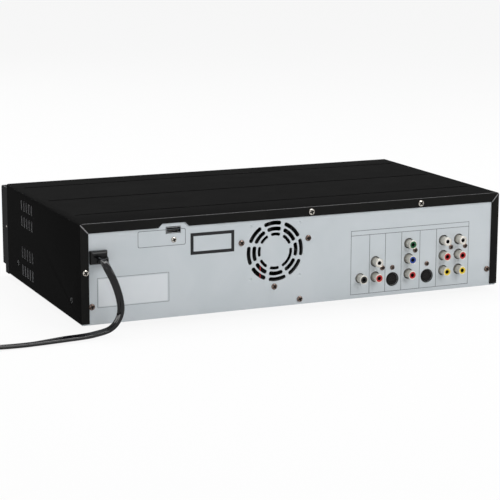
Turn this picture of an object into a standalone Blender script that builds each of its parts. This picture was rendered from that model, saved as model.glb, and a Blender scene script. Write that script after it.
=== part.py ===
"""Disc and tape combination player, free standing, with its mains cord.

Metres, +Z up. The front faces -Y, the jacks face +Y and +X is at the right seen from the front.
The origin is on the floor under the middle of the player, from its buttons to the tips of its jacks.
"""

from math import asin, cos, pi, radians, sin

import bmesh
import bpy
from mathutils import Matrix, Vector

MM = 0.001

# General fits
GAP = 0.3 * MM  # between pieces that touch
RUNNING = 0.4 * MM  # beside a piece that slides
OVERRUN = 6 * MM  # how far a cut runs past the solid

# Case
BETWEEN_MECHANISMS = 68 * MM
BEHIND_DECK = 45 * MM
OVER_DECK = 15.5 * MM
COVER_LIFT = 7.5 * MM
BASE_LIFT = 6 * MM
SHEET = 1 * MM
COVER_BEND = 2 * MM
SIDE_LIP = 8 * MM
TOP_LIP = 9 * MM
LIP_NOTCH_WIDTH = 30 * MM
LIP_NOTCH_TOP_WIDTH = 22.2 * MM
LIP_NOTCH_RISE = 3.8 * MM
GROOVE_WIDTH = 3 * MM
GROOVE_DEPTH = 0.5 * MM
GROOVE_END_MARGIN = 10 * MM
GROOVE_PLACES = (44.5 * MM, 126 * MM, 206 * MM)  # from the rear edge of the cover
VENT_FIRST = 150 * MM  # from the rear edge of the cover to the middle of the first slot
VENT_PITCH = 8.5 * MM
VENT_WIDTH = 4 * MM
VENT_COLUMNS = 5
VENT_ROWS = ((15.5 * MM, 26.5 * MM), (33.5 * MM, 44.5 * MM), (65.5 * MM, 75.5 * MM), (81.5 * MM, 91.5 * MM))

# Front panel
BEZEL_DEPTH = 19.2 * MM
BEZEL_WALL = 2.5 * MM
BEZEL_TOP_DROP = 3.6 * MM
BEZEL_ROUND = 3 * MM
STEP_HEIGHT = 8.5 * MM
STEP_BACK = 9 * MM
WINDOW_WIDTH = 120 * MM
WINDOW_HEIGHT = 20 * MM
WINDOW_X = 40 * MM
WINDOW_THICK = 1.8 * MM
WINDOW_FLANGE = 1.5 * MM
CONTROLS_Z = 34 * MM
BUTTON_PROUD = 1 * MM
BUTTON_TRAVEL = 1.2 * MM
BUTTON_FLANGE = 1.5 * MM
BUTTON_FLANGE_THICK = 1.2 * MM
BUTTON_STEM = 1.5 * MM  # half the width of a button's stem
KEY_WIDTH = 24 * MM
KEY_HEIGHT = 7 * MM
POWER_RADIUS = 6 * MM
KEY_PITCH = 32 * MM
TRAY_KEY_FROM_SIDE = 64 * MM
POWER_FROM_SIDE = 24 * MM
FIRST_KEY_FROM_SIDE = 66 * MM
SWITCH_ROOM = 0.5 * MM

# Feet
FOOT_RADIUS = 13 * MM
FOOT_TAPER = 1.5 * MM
FOOT_FROM_SIDE = 40 * MM
FOOT_FROM_FRONT = 42 * MM
FOOT_FROM_REAR = 48 * MM

# Chassis base
BASE_FLANGE = 18 * MM
BASE_REAR_FLANGE = 7 * MM
BOARD_Z = 14 * MM
BOARD_THICK = 1.6 * MM
POST_RADIUS = 3 * MM

# Boards and power
MAIN_BOARD_FROM_SIDE = 22 * MM
MAIN_BOARD_PAST_DECK = 34 * MM
MAIN_BOARD_DEPTH = 160 * MM
BOARD_MARGIN = 6 * MM
BOARD_REAR_ROOM = 1.5 * MM
CHIP_SIZE = 22 * MM
CHIP_HEIGHT = 2.2 * MM
CHIP_FROM_REAR = 62 * MM
POWER_BOARD_FROM_SIDE = 10 * MM
POWER_BOARD_WIDTH = 136 * MM
POWER_BOARD_DEPTH = 70 * MM
TRANSFORMER_X = 108 * MM  # from the right side of the case
TRANSFORMER_Y = 24 * MM  # from the inside of the rear panel
TRANSFORMER_WIDTH = 32 * MM
TRANSFORMER_DEPTH = 26 * MM
TRANSFORMER_HEIGHT = 20 * MM
TRANSFORMER_WAIST = 4 * MM
CAPACITOR_X = 72 * MM
CAPACITOR_Y = 22 * MM
CAPACITOR_RADIUS = 10 * MM
CAPACITOR_HEIGHT = 20 * MM
CAPACITOR_ROUND = 1 * MM
HEAT_SINK_X = 34 * MM
HEAT_SINK_Y = 28 * MM
HEAT_SINK_WIDTH = 36 * MM
HEAT_SINK_HEIGHT = 20 * MM
HEAT_SINK_BACK = 3 * MM
FIN_LENGTH = 12 * MM
FIN_THICK = 1.6 * MM
FIN_COUNT = 6
HDMI_BOARD_WIDTH = 64 * MM
HDMI_BOARD_DEPTH = 36 * MM
HDMI_BOARD_SHIFT = 6 * MM

# Fan
FAN_X = 26.2 * MM
FAN_FROM_TOP = 39.6 * MM
FAN_SIZE = 60 * MM
FAN_DEPTH = 15 * MM
FAN_BORE = 28.5 * MM
FAN_SCREW_PITCH = 50 * MM
FAN_SCREW_HOLE = 2 * MM
FAN_SPOKE = 3 * MM
FAN_SPOKE_THICK = 2 * MM
FAN_MOTOR_RADIUS = 13 * MM
FAN_HUB_RADIUS = 14.5 * MM
FAN_TIP_RADIUS = 27.5 * MM
FAN_FRONT_ROOM = 1 * MM
FAN_BLADES = 7
FAN_BLADE_THICK = 1.2 * MM
FAN_BLADE_PITCH = radians(38)
GRILLE_RADII = (15.7 * MM, 21.3 * MM, 27.3 * MM)  # middles of the slots
GRILLE_SLOT = 3 * MM
GRILLE_SLOTS = 8
GRILLE_SLOT_SPAN = radians(32)
GRILLE_TURN = radians(6)

# Jacks, in a row from the left side of the case seen from the front
JACK_PROUD = 9 * MM
JACK_BODY_DEPTH = 14 * MM
JACK_BODY_WIDTH = 14 * MM
JACK_BODY_MARGIN = 7 * MM
BARREL_RADIUS = 4.15 * MM
BARREL_HOLE_RADIUS = 1.7 * MM
BARREL_HOLE_DEPTH = 8 * MM
BARREL_CLEARANCE = 0.5 * MM
SVIDEO_RADIUS = 6.4 * MM
SVIDEO_SOCKET_RADIUS = 4.6 * MM
SVIDEO_SOCKET_DEPTH = 6 * MM
SVIDEO_PROUD = 0.8 * MM
JACK_PITCH = 15.1 * MM
LOW_JACK_RISE = 10 * MM
AV_IN_FROM_SIDE = 44.3 * MM
AV_PITCH = 17.1 * MM
AV_BODY_GAP = 0.7 * MM
SVIDEO_IN_PITCH = 18.6 * MM
COMPONENT_PITCH = 20.1 * MM
SVIDEO_OUT_PITCH = 18.1 * MM
AUDIO_OUT_PITCH = 18.3 * MM
COAX_PITCH = 16.6 * MM
TUNER_WIDTH = 14 * MM
TUNER_HEIGHT = 20 * MM
HDMI_FROM_SIDE = 89.8 * MM
HDMI_FROM_TOP = 11.8 * MM
HDMI_WIDTH = 14 * MM
HDMI_HEIGHT = 5.6 * MM
HDMI_WALL = 0.6 * MM
HDMI_DEPTH = 12 * MM
HDMI_SOCKET_DEPTH = 8 * MM
HDMI_PROUD = 0.6 * MM

# Mains cord
RELIEF_FROM_LIP = 0.7 * MM
RELIEF_Z = 68.4 * MM
RELIEF_WIDTH = 16.4 * MM
RELIEF_HEIGHT = 12.5 * MM
RELIEF_PROUD = 9 * MM
RELIEF_NOSE_WIDTH = 9 * MM
RELIEF_NOSE_HEIGHT = 7 * MM
RELIEF_INSIDE = 12 * MM
RELIEF_SEAT = 1.2 * MM
CORD_DIAMETER = 4.8 * MM
CORD_STEP = 6.2 * MM
COIL_PITCH = 5.3 * MM
COIL_RADIUS = 44 * MM
COIL_LAYER_TURNS = 2.375
COIL_CLIMB_TURNS = 0.5
LOOP_STEP_COUNT = 24
TAIL_LENGTH = 16 * MM
PLUG_WIDTH = 20 * MM
PLUG_HEIGHT = 14.6 * MM
PLUG_LENGTH = 26 * MM
PLUG_COLLAR = 12 * MM
PLUG_COLLAR_WIDTH = 8 * MM
PLUG_CORNER = 3 * MM
BLADE_LENGTH = 17 * MM
BLADE_WIDTH = 6.3 * MM
BLADE_THICK = 1.5 * MM
BLADE_PITCH = 12.7 * MM
BLADE_ROOT = 3 * MM

# Disc drive
DRIVE_FROM_SIDE = 12.5 * MM
DRIVE_BEHIND_COVER_EDGE = 2 * MM
DRIVE_FLOOR = 2 * MM
DRIVE_RAIL = 8.6 * MM
DRIVE_RIM = 4 * MM
DRIVE_LEDGE = 13 * MM
DRIVE_REAR_ROOM = 10 * MM
DRIVE_UNDER_TRAVERSE = 16 * MM
DRIVE_WALL = 2.5 * MM
DRIVE_WELL_FRONT = 4 * MM
DRIVE_WELL_REAR = 8 * MM
DRIVE_FOOT = 8 * MM
TRAY_WIDTH = 132 * MM
TRAY_Z = 64 * MM
TRAY_THICK = 8 * MM
TRAY_TRAVEL = 152 * MM
TRAY_STAY = 32 * MM
DISC_FROM_TRAY_FRONT = 70 * MM
DISC_RADIUS = 60.5 * MM
DISC_DEPTH = 4.5 * MM
SMALL_DISC_RADIUS = 41 * MM
SMALL_DISC_DEPTH = 1.2 * MM
TRAY_SLOT_HALF = 24 * MM
TRAY_SLOT_AHEAD = 24 * MM
FASCIA_OVERLAP = 10 * MM
FASCIA_HEIGHT = 15.4 * MM
FASCIA_THICK = 4 * MM
FASCIA_EASE = 0.5 * MM
FASCIA_ROUND = 0.8 * MM
MODULE = 1.5 * MM
GEAR_TEETH = 18
BACKLASH = 0.35 * MM
ADDENDUM_SHARE = 0.8
DEDENDUM_SHARE = 1.1
PRESSURE_TANGENT = 0.36
GEAR_THICK = 4.6 * MM
GEAR_FROM_DRIVE_FRONT = 21 * MM
RACK_FROM_EDGE = 20.6 * MM  # from the tray's side to the rack's pitch line
RACK_BACK = 3 * MM
RACK_SPARE_COUNT = 2
PULLEY_RADIUS = 14 * MM
MOTOR_PULLEY_RADIUS = 4 * MM
PULLEY_THICK = 5 * MM
PULLEY_RIM = 1.2 * MM
PULLEY_GROOVE = 1.2 * MM
BELT = 1.4 * MM
MOTOR_FROM_MIDDLE = 32 * MM
MOTOR_RADIUS = 10 * MM
MOTOR_UNDER_TRAY = 7.4 * MM
TRAVERSE_THICK = 3 * MM
TRAVERSE_UNDER_TRAY = 10 * MM
TRAVERSE_SIDE_ROOM = 15 * MM
TRAVERSE_AHEAD = 28 * MM  # in front of the turntable's axis
TRAVERSE_BEHIND = 84 * MM  # from the turntable's axis to the pivot
TRAVERSE_PIN = 2 * MM
TRAVERSE_PIN_LENGTH = 5 * MM
PIVOT_POST_DEPTH = 8 * MM
WINDOW_HALF = 22 * MM
PICKUP_WINDOW_FRONT = 16 * MM
PICKUP_WINDOW_REAR = 76 * MM
PICKUP_FRONT = 16.5 * MM
PICKUP_DEPTH = 24 * MM
PICKUP_HALF = 23.4 * MM
PICKUP_HEIGHT = 5 * MM
LENS_RADIUS = 4 * MM
LENS_HEIGHT = 3.2 * MM
LENS_FROM_FRONT = 6 * MM
SCREW_X = 27 * MM
SCREW_RADIUS = 2 * MM
SCREW_LIFT = 3 * MM
SCREW_BOSS = 4 * MM
TURNTABLE_RADIUS = 15 * MM
TURNTABLE_LIFT = 10 * MM
TURNTABLE_THICK = 2 * MM
CONE_RADIUS = 7.2 * MM
CONE_HEIGHT = 2.4 * MM
SPINDLE_RADIUS = 3 * MM
SPINDLE_MOTOR_RADIUS = 12 * MM
SPINDLE_MOTOR_HEIGHT = 7 * MM
BRIDGE_DEPTH = 42 * MM
BRIDGE_THICK = 1.5 * MM
BRIDGE_HOLE = 12 * MM
PUCK_RADIUS = 16 * MM
PUCK_NECK = 11.4 * MM
PUCK_FLANGE = 1.6 * MM

# Tape deck
DECK_FROM_SIDE = 6.5 * MM
DECK_WALL = 1.5 * MM
DECK_PLATE = 1.5 * MM
DECK_OVER_BOARD = 8.4 * MM
DECK_BEHIND_DRUM = 2 * MM
DECK_WALL_PAST_CARRIER = 4 * MM
DECK_BEHIND_COVER_EDGE = 8 * MM
DECK_TOP = 84 * MM
DECK_LEG = 8 * MM
DECK_LEG_INSET = 6 * MM
CASSETTE_WIDTH = 188 * MM
CASSETTE_BAY_HEIGHT = 26.5 * MM
CARRIER_Z = 51.5 * MM
CARRIER_WALL = 1.5 * MM
CARRIER_LIP = 20 * MM
CARRIER_DEPTH = 58 * MM
CARRIER_FROM_DECK_FRONT = 8 * MM
CARRIER_TRAVEL = 42 * MM
SLIDER_WALL = 1.2 * MM
SLIDER_Z = 46 * MM
REEL_SPACING = 92 * MM
REEL_IN_CARRIER = 52 * MM
REEL_RADIUS = 19 * MM
REEL_PLATE = 3.5 * MM
REEL_HUB = 9 * MM
REEL_HEIGHT = 11 * MM
REEL_CONE = 4 * MM
REEL_LOBES = 6
REEL_LOBE = 1.6 * MM
DRUM_RADIUS = 31 * MM
DRUM_ROOM = 12 * MM
LOWER_DRUM_HEIGHT = 18 * MM
UPPER_DRUM_HEIGHT = 16 * MM
DRUM_EDGE = 1 * MM
DRUM_RECESS = 22 * MM
DRUM_RECESS_DEPTH = 3 * MM
CAPSTAN_X = 47 * MM  # from the middle of the deck
CAPSTAN_ROOM = 10 * MM
CAPSTAN_RADIUS = 2 * MM
CAPSTAN_TOP = 58 * MM
FLYWHEEL_RADIUS = 18 * MM
FLYWHEEL_THICK = 4.5 * MM
FLYWHEEL_GAP = 1.2 * MM
ROLLER_RADIUS = 7 * MM
ROLLER_HEIGHT = 20 * MM
ROLLER_BORE = 2.4 * MM
ROLLER_PIN = 2 * MM
PINCH_PRESSED_ANGLE = radians(207.7)
PINCH_SWING = 35
PINCH_CONTACT_ANGLE = radians(100)
PINCH_ARM_LENGTH = 23.3 * MM
PINCH_ARM_HALF = 4.5 * MM
PINCH_ARM_THICK = 3 * MM
PINCH_LIFT = 0.6 * MM
GUIDE_POST_RADIUS = 2.5 * MM
GUIDE_POST_HEIGHT = 24 * MM
GUIDE_POST_FROM_DRUM = 12 * MM

# Cassette door
DOOR_HEIGHT = 31 * MM
DOOR_OVERLAP = 1.6 * MM
DOOR_UNDER_TOP = 11.9 * MM
DOOR_THICK = 2.5 * MM
DOOR_PIVOT_BACK = 4.1 * MM
DOOR_PIVOT_DROP = 2.6 * MM
DOOR_EASE = 0.4 * MM
DOOR_PIN = 1.2 * MM
DOOR_PIN_LENGTH = 2.6 * MM
LUG_WIDTH = 4 * MM
LUG_DEPTH = 4 * MM
LUG_HEIGHT = 4 * MM

# Sizes and places that follow from these
BOARD_TOP = BOARD_Z + BOARD_THICK
DECK_Z = BOARD_TOP + DECK_OVER_BOARD
DECK_OUTER = CASSETTE_WIDTH + 2 * (CARRIER_WALL + SLIDER_WALL + 2 * RUNNING + DECK_WALL)
MAIN_BOARD_WIDTH = DECK_OUTER + MAIN_BOARD_PAST_DECK
CARRIER_REACH = CARRIER_FROM_DECK_FRONT + CARRIER_DEPTH + CARRIER_TRAVEL
DECK_WALL_DEPTH = CARRIER_REACH + DECK_WALL_PAST_CARRIER
DRUM_FROM_DECK_FRONT = CARRIER_REACH + DRUM_ROOM + DRUM_RADIUS
DECK_DEPTH = DRUM_FROM_DECK_FRONT + DRUM_RADIUS + DECK_BEHIND_DRUM
TRAVERSE_Z = TRAY_Z - TRAVERSE_UNDER_TRAY
DRIVE_Z = TRAVERSE_Z - DRIVE_UNDER_TRAVERSE
DRIVE_TOP = TRAY_Z + TRAY_THICK + DRIVE_RIM
DRIVE_WIDTH = TRAY_WIDTH + 2 * (RUNNING + DRIVE_RAIL)
DRIVE_WELL_WIDTH = TRAY_WIDTH - 2 * DRIVE_LEDGE
TRAY_LENGTH = TRAY_TRAVEL + TRAY_STAY
DRIVE_DEPTH = TRAY_LENGTH + DRIVE_REAR_ROOM
TRAVERSE_HALF = DRIVE_WELL_WIDTH / 2 - TRAVERSE_SIDE_ROOM
RACK_X = TRAY_WIDTH / 2 - RACK_FROM_EDGE
FASCIA_WIDTH = TRAY_WIDTH + 2 * FASCIA_OVERLAP
CASE_WIDTH = DECK_FROM_SIDE + DECK_OUTER + BETWEEN_MECHANISMS + DRIVE_WIDTH + DRIVE_FROM_SIDE
COVER_DEPTH = DECK_BEHIND_COVER_EDGE + DECK_DEPTH + BEHIND_DECK
COVER_TOP = DECK_TOP + OVER_DECK
OVERALL = BUTTON_PROUD + BEZEL_DEPTH + GAP + COVER_DEPTH - SHEET - GAP + JACK_PROUD
LIP_Y = OVERALL / 2 - JACK_PROUD + SHEET + GAP
PANEL_OUT = LIP_Y - SHEET - GAP
PANEL_IN = PANEL_OUT - SHEET
COVER_FRONT = LIP_Y - COVER_DEPTH
CEILING = COVER_TOP - SHEET
HALF = CASE_WIDTH / 2
INNER_HALF = HALF - SHEET - GAP
BEZEL_BACK = COVER_FRONT - GAP
BEZEL_FRONT = BEZEL_BACK - BEZEL_DEPTH
BEZEL_INSIDE = BEZEL_FRONT + BEZEL_WALL
BEZEL_TOP = COVER_TOP - BEZEL_TOP_DROP
BASE_FLOOR = BASE_LIFT + SHEET
KEY_BOARD_BACK = COVER_FRONT - BOARD_THICK * 2
KEY_BOARD_FRONT = KEY_BOARD_BACK - BOARD_THICK
CAP_FRONT = BEZEL_FRONT - BUTTON_PROUD
DECK_X = -HALF + DECK_FROM_SIDE + DECK_OUTER / 2
DECK_FRONT = COVER_FRONT + DECK_BEHIND_COVER_EDGE
DECK_FLOOR = DECK_Z + DECK_PLATE
DRUM_Y = DECK_FRONT + DRUM_FROM_DECK_FRONT
CARRIER_FRONT = DECK_FRONT + CARRIER_FROM_DECK_FRONT
REEL_Y = CARRIER_FRONT + REEL_IN_CARRIER
CARRIER_OUTER = CASSETTE_WIDTH + 2 * CARRIER_WALL
CARRIER_TOP = CARRIER_Z + 2 * CARRIER_WALL + CASSETTE_BAY_HEIGHT
SLIDER_OUTER = CARRIER_OUTER + 2 * RUNNING + 2 * SLIDER_WALL
CAPSTAN = Vector((DECK_X + CAPSTAN_X, DECK_FRONT + CARRIER_REACH + CAPSTAN_ROOM, 0))
DRIVE_X = HALF - DRIVE_FROM_SIDE - DRIVE_WIDTH / 2
DRIVE_FRONT = COVER_FRONT + DRIVE_BEHIND_COVER_EDGE
DRIVE_BASE = DRIVE_Z + DRIVE_FLOOR
DISC_Y = DRIVE_FRONT + DISC_FROM_TRAY_FRONT
PIVOT_Y = DISC_Y + TRAVERSE_BEHIND
TRAVERSE_TOP = TRAVERSE_Z + TRAVERSE_THICK
PIVOT_Z = TRAVERSE_Z + TRAVERSE_THICK / 2
GEAR_RADIUS = MODULE * GEAR_TEETH / 2
GEAR_X = DRIVE_X + RACK_X - GEAR_RADIUS
GEAR_Y = DRIVE_FRONT + GEAR_FROM_DRIVE_FRONT
MOTOR_X = DRIVE_X - MOTOR_FROM_MIDDLE
PULLEY_Z = DRIVE_BASE + GAP
GEAR_Z = TRAY_Z - 2 * RUNNING - GEAR_THICK
FAN_Z = COVER_TOP - FAN_FROM_TOP
FAN_BACK = PANEL_IN - GAP
LOW_JACK_Z = BOARD_TOP + LOW_JACK_RISE
SVIDEO_Z = BOARD_TOP + GAP + SVIDEO_RADIUS + GAP
AV_BODY_WIDTH = AV_PITCH - AV_BODY_GAP
AV_IN_X = -HALF + AV_IN_FROM_SIDE
AV_OUT_X = AV_IN_X + AV_PITCH
SVIDEO_IN_X = AV_OUT_X + SVIDEO_IN_PITCH
COMPONENT_X = SVIDEO_IN_X + COMPONENT_PITCH
SVIDEO_OUT_X = COMPONENT_X + SVIDEO_OUT_PITCH
AUDIO_OUT_X = SVIDEO_OUT_X + AUDIO_OUT_PITCH
COAX_X = AUDIO_OUT_X + COAX_PITCH
RELIEF_X = HALF - SIDE_LIP - RELIEF_FROM_LIP - RELIEF_WIDTH / 2
HDMI_X = HALF - HDMI_FROM_SIDE
HDMI_Z = COVER_TOP - HDMI_FROM_TOP
DOOR_TOP = BEZEL_TOP - DOOR_UNDER_TOP
DOOR_WIDTH = CASSETTE_WIDTH + 2 * DOOR_OVERLAP
DOOR_PIVOT = Vector((DECK_X, BEZEL_FRONT + DOOR_PIVOT_BACK, DOOR_TOP - DOOR_PIVOT_DROP))

SIDES = 24  # sides of a middling round
FINE_SIDES = 48
FEW_SIDES = 12

AXES = {"X": Vector((1, 0, 0)), "Y": Vector((0, 1, 0)), "Z": Vector((0, 0, 1))}
ACROSS = {"X": (AXES["Y"], AXES["Z"]), "Y": (AXES["X"], AXES["Z"]), "Z": (AXES["X"], AXES["Y"])}


def at(axis, along, u, v):
    """The point at (u, v) across an axis and so far along it."""
    first, second = ACROSS[axis]
    return AXES[axis] * along + first * u + second * v


def skin(bm, rings, loop=False):
    """Joins rings of points one to the next. The ends are closed, unless the row of rings is a loop."""
    rows = [[bm.verts.new(point) for point in ring] for ring in rings]
    pairs = list(zip(rows, rows[1:]))
    if loop:
        pairs.append((rows[-1], rows[0]))
    for near, far in pairs:
        for i in range(len(near)):
            j = (i + 1) % len(near)
            bm.faces.new((near[i], near[j], far[j], far[i]))
    if not loop:
        bm.faces.new(rows[0])
        bm.faces.new(rows[-1])


def box(bm, low, high):
    """A box from its low corner to its high corner."""
    middle = (Vector(low) + Vector(high)) / 2
    size = Vector(high) - Vector(low)
    bmesh.ops.create_cube(bm, size=1, matrix=Matrix.Translation(middle) @ Matrix.Diagonal((*size, 1)))


def prism(bm, outline, axis, start, end):
    """A flat outline of (u, v) points, extruded along an axis."""
    skin(bm, [[at(axis, along, u, v) for u, v in outline] for along in (start, end)])


def circle(u, v, radius, sides=SIDES, turn=0.0):
    """The points of a circle across an axis."""
    steps = [turn + 2 * pi * i / sides for i in range(sides)]
    return [(u + radius * cos(a), v + radius * sin(a)) for a in steps]


def turned(bm, axis, u, v, profile, sides=SIDES, loop=False):
    """A body of revolution from (along, radius) pairs. A loop of pairs makes a ring with a bore."""
    skin(bm, [[at(axis, along, *p) for p in circle(u, v, r, sides)] for along, r in profile], loop)


def rectangle(u, v, width, height):
    """The corners of a rectangle round its middle."""
    a, b = width / 2, height / 2
    return [(u - a, v - b), (u + a, v - b), (u + a, v + b), (u - a, v + b)]


def rounded(u, v, width, height, radius, steps=3):
    """A rectangle with round corners."""
    points = []
    corners = ((1, 1, 0), (-1, 1, 1), (-1, -1, 2), (1, -1, 3))
    for su, sv, quarter in corners:
        cu, cv = u + su * (width / 2 - radius), v + sv * (height / 2 - radius)
        for i in range(steps + 1):
            a = (quarter + i / steps) * pi / 2
            points.append((cu + radius * cos(a), cv + radius * sin(a)))
    return points


def stacked(bm, axis, outlines):
    """A stepped body from (along, outline) pairs with as many points each."""
    skin(bm, [[at(axis, along, u, v) for u, v in outline] for along, outline in outlines])


def material(name, colour, roughness, metallic=0.0):
    """A plain finish."""
    made = bpy.data.materials.new(name)
    made.use_nodes = True
    shader = made.node_tree.nodes["Principled BSDF"]
    shader.inputs["Base Color"].default_value = (*colour, 1)
    shader.inputs["Roughness"].default_value = roughness
    shader.inputs["Metallic"].default_value = metallic
    return made


def finish(name, bm, stuff, round_shape=False):
    """Makes the mesh an object of its own, with its faces pointing out."""
    bmesh.ops.recalc_face_normals(bm, faces=bm.faces)
    mesh = bpy.data.meshes.new(name)
    bm.to_mesh(mesh)
    bm.free()
    made = bpy.data.objects.new(name, mesh)
    bpy.context.scene.collection.objects.link(made)
    if stuff:
        mesh.materials.append(stuff)
    if round_shape:
        mesh.shade_smooth()
        mesh.set_sharp_from_angle(angle=radians(30))
    return made


def combine(body, other, operation):
    """Cuts a guide shape out of a body, or welds it to the body."""
    guide = finish(f"{body.name}_{operation.lower()}_{len(body.modifiers)}", other, None)
    guide.hide_render = True
    guide.display_type = "WIRE"
    step = body.modifiers.new(guide.name, "BOOLEAN")
    step.operation = operation
    step.solver = "EXACT"
    step.object = guide


def cut(body, other):
    """Cuts the shapes in a mesh out of a body."""
    combine(body, other, "DIFFERENCE")


def weld(body, other):
    """Welds the shapes in a mesh to a body."""
    combine(body, other, "UNION")


def put_origin(body, point):
    """Moves a body's origin to a point on its joint's axis, and leaves its shape in place."""
    body.data.transform(Matrix.Translation(-Vector(point)))
    body.location = point


def carry(parent, *bodies):
    """Makes bodies move with another one."""
    bpy.context.view_layer.update()
    for body in bodies:
        body.parent = parent
        body.matrix_parent_inverse = parent.matrix_world.inverted()


def clear_scene():
    """Removes what a new scene holds."""
    for old in list(bpy.data.objects):
        bpy.data.objects.remove(old, do_unlink=True)


def make_materials():
    """The finishes by name."""
    return {
        "black_paint": material("black_paint", (0.012, 0.012, 0.015), 0.42),
        "silver_paint": material("silver_paint", (0.55, 0.59, 0.61), 0.45),
        "zinc": material("zinc", (0.62, 0.63, 0.64), 0.38, 1.0),
        "black_plastic": material("black_plastic", (0.015, 0.015, 0.017), 0.4),
        "smoked_window": material("smoked_window", (0.01, 0.012, 0.015), 0.08),
        "grey_plastic": material("grey_plastic", (0.12, 0.12, 0.125), 0.5),
        "white_plastic": material("white_plastic", (0.7, 0.7, 0.68), 0.45),
        "rubber": material("rubber", (0.02, 0.02, 0.02), 0.8),
        "cord_black": material("cord_black", (0.012, 0.012, 0.014), 0.3),
        "nickel": material("nickel", (0.7, 0.68, 0.62), 0.25, 1.0),
        "board_green": material("board_green", (0.03, 0.16, 0.07), 0.5),
        "tape_yellow": material("tape_yellow", (0.7, 0.55, 0.1), 0.5),
        "aluminium": material("aluminium", (0.75, 0.76, 0.77), 0.3, 1.0),
        "brass": material("brass", (0.75, 0.6, 0.3), 0.3, 1.0),
        "red_rubber": material("red_rubber", (0.02, 0.018, 0.018), 0.7),
    }


def jack_columns():
    """The columns of jacks: name, x, heights and width of the body."""
    low, middle, high = (LOW_JACK_Z + i * JACK_PITCH for i in range(3))
    return (
        ("audio_out_jacks", AUDIO_OUT_X, (low, middle), JACK_BODY_WIDTH),
        ("component_jacks", COMPONENT_X, (low, middle, high), JACK_BODY_WIDTH),
        ("av_out_jacks", AV_OUT_X, (low, middle, high), AV_BODY_WIDTH),
        ("av_in_jacks", AV_IN_X, (low, middle, high), AV_BODY_WIDTH),
    )


def make_cover(stuff):
    """The folded top cover, with its rear lips, grooves and side slots."""
    bm = bmesh.new()
    outline = [(-HALF, COVER_LIFT)]
    for side in (-1, 1):
        for i in range(4):
            a = (1 - i / 3 if side < 0 else i / 3) * pi / 2
            corner = HALF - COVER_BEND + COVER_BEND * cos(a)
            outline.append((side * corner, COVER_TOP - COVER_BEND + COVER_BEND * sin(a)))
    outline[1:5] = reversed(outline[1:5])
    outline[5:9] = reversed(outline[5:9])
    outline.append((HALF, COVER_LIFT))
    prism(bm, outline, "Y", COVER_FRONT, LIP_Y)
    cover = finish("top_cover", bm, stuff["black_paint"], True)
    bm = bmesh.new()
    inner = HALF - SHEET
    box(bm, (-inner, COVER_FRONT - OVERRUN, COVER_LIFT - OVERRUN), (inner, LIP_Y - SHEET, CEILING))
    cut(cover, bm)
    bm = bmesh.new()
    lip = HALF - SIDE_LIP
    lip_z = COVER_TOP - TOP_LIP
    notch = LIP_NOTCH_WIDTH / 2
    notch_top = LIP_NOTCH_TOP_WIDTH / 2
    window = [(-lip, COVER_LIFT - OVERRUN), (lip, COVER_LIFT - OVERRUN), (lip, lip_z)]
    window += [(HDMI_X + notch, lip_z), (HDMI_X + notch_top, lip_z + LIP_NOTCH_RISE)]
    window += [(HDMI_X - notch_top, lip_z + LIP_NOTCH_RISE), (HDMI_X - notch, lip_z), (-lip, lip_z)]
    prism(bm, window, "Y", LIP_Y - SHEET - OVERRUN, LIP_Y + OVERRUN)
    cut(cover, bm)
    bm = bmesh.new()
    reach = HALF - GROOVE_END_MARGIN
    for place in GROOVE_PLACES:
        y = LIP_Y - place
        half = GROOVE_WIDTH / 2
        box(bm, (-reach, y - half, COVER_TOP - GROOVE_DEPTH), (reach, y + half, COVER_TOP + OVERRUN))
    for column in range(VENT_COLUMNS):
        y = LIP_Y - VENT_FIRST - column * VENT_PITCH
        half = VENT_WIDTH / 2
        for low, high in VENT_ROWS:
            for side in (-1, 1):
                ends = sorted((side * (HALF - SHEET - OVERRUN), side * (HALF + OVERRUN)))
                box(bm, (ends[0], y - half, low), (ends[1], y + half, high))
    cut(cover, bm)


def grille_slot(bm, radius, start, span):
    """One slot of the fan grille, as an arc."""
    steps = max(2, round(span / radians(10)))
    angles = [start + span * i / steps for i in range(steps + 1)]
    outer, inner = radius + GRILLE_SLOT / 2, radius - GRILLE_SLOT / 2
    points = [(FAN_X + outer * cos(a), FAN_Z + outer * sin(a)) for a in angles]
    points += [(FAN_X + inner * cos(a), FAN_Z + inner * sin(a)) for a in reversed(angles)]
    prism(bm, points, "Y", PANEL_IN - OVERRUN, PANEL_OUT + OVERRUN)


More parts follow.
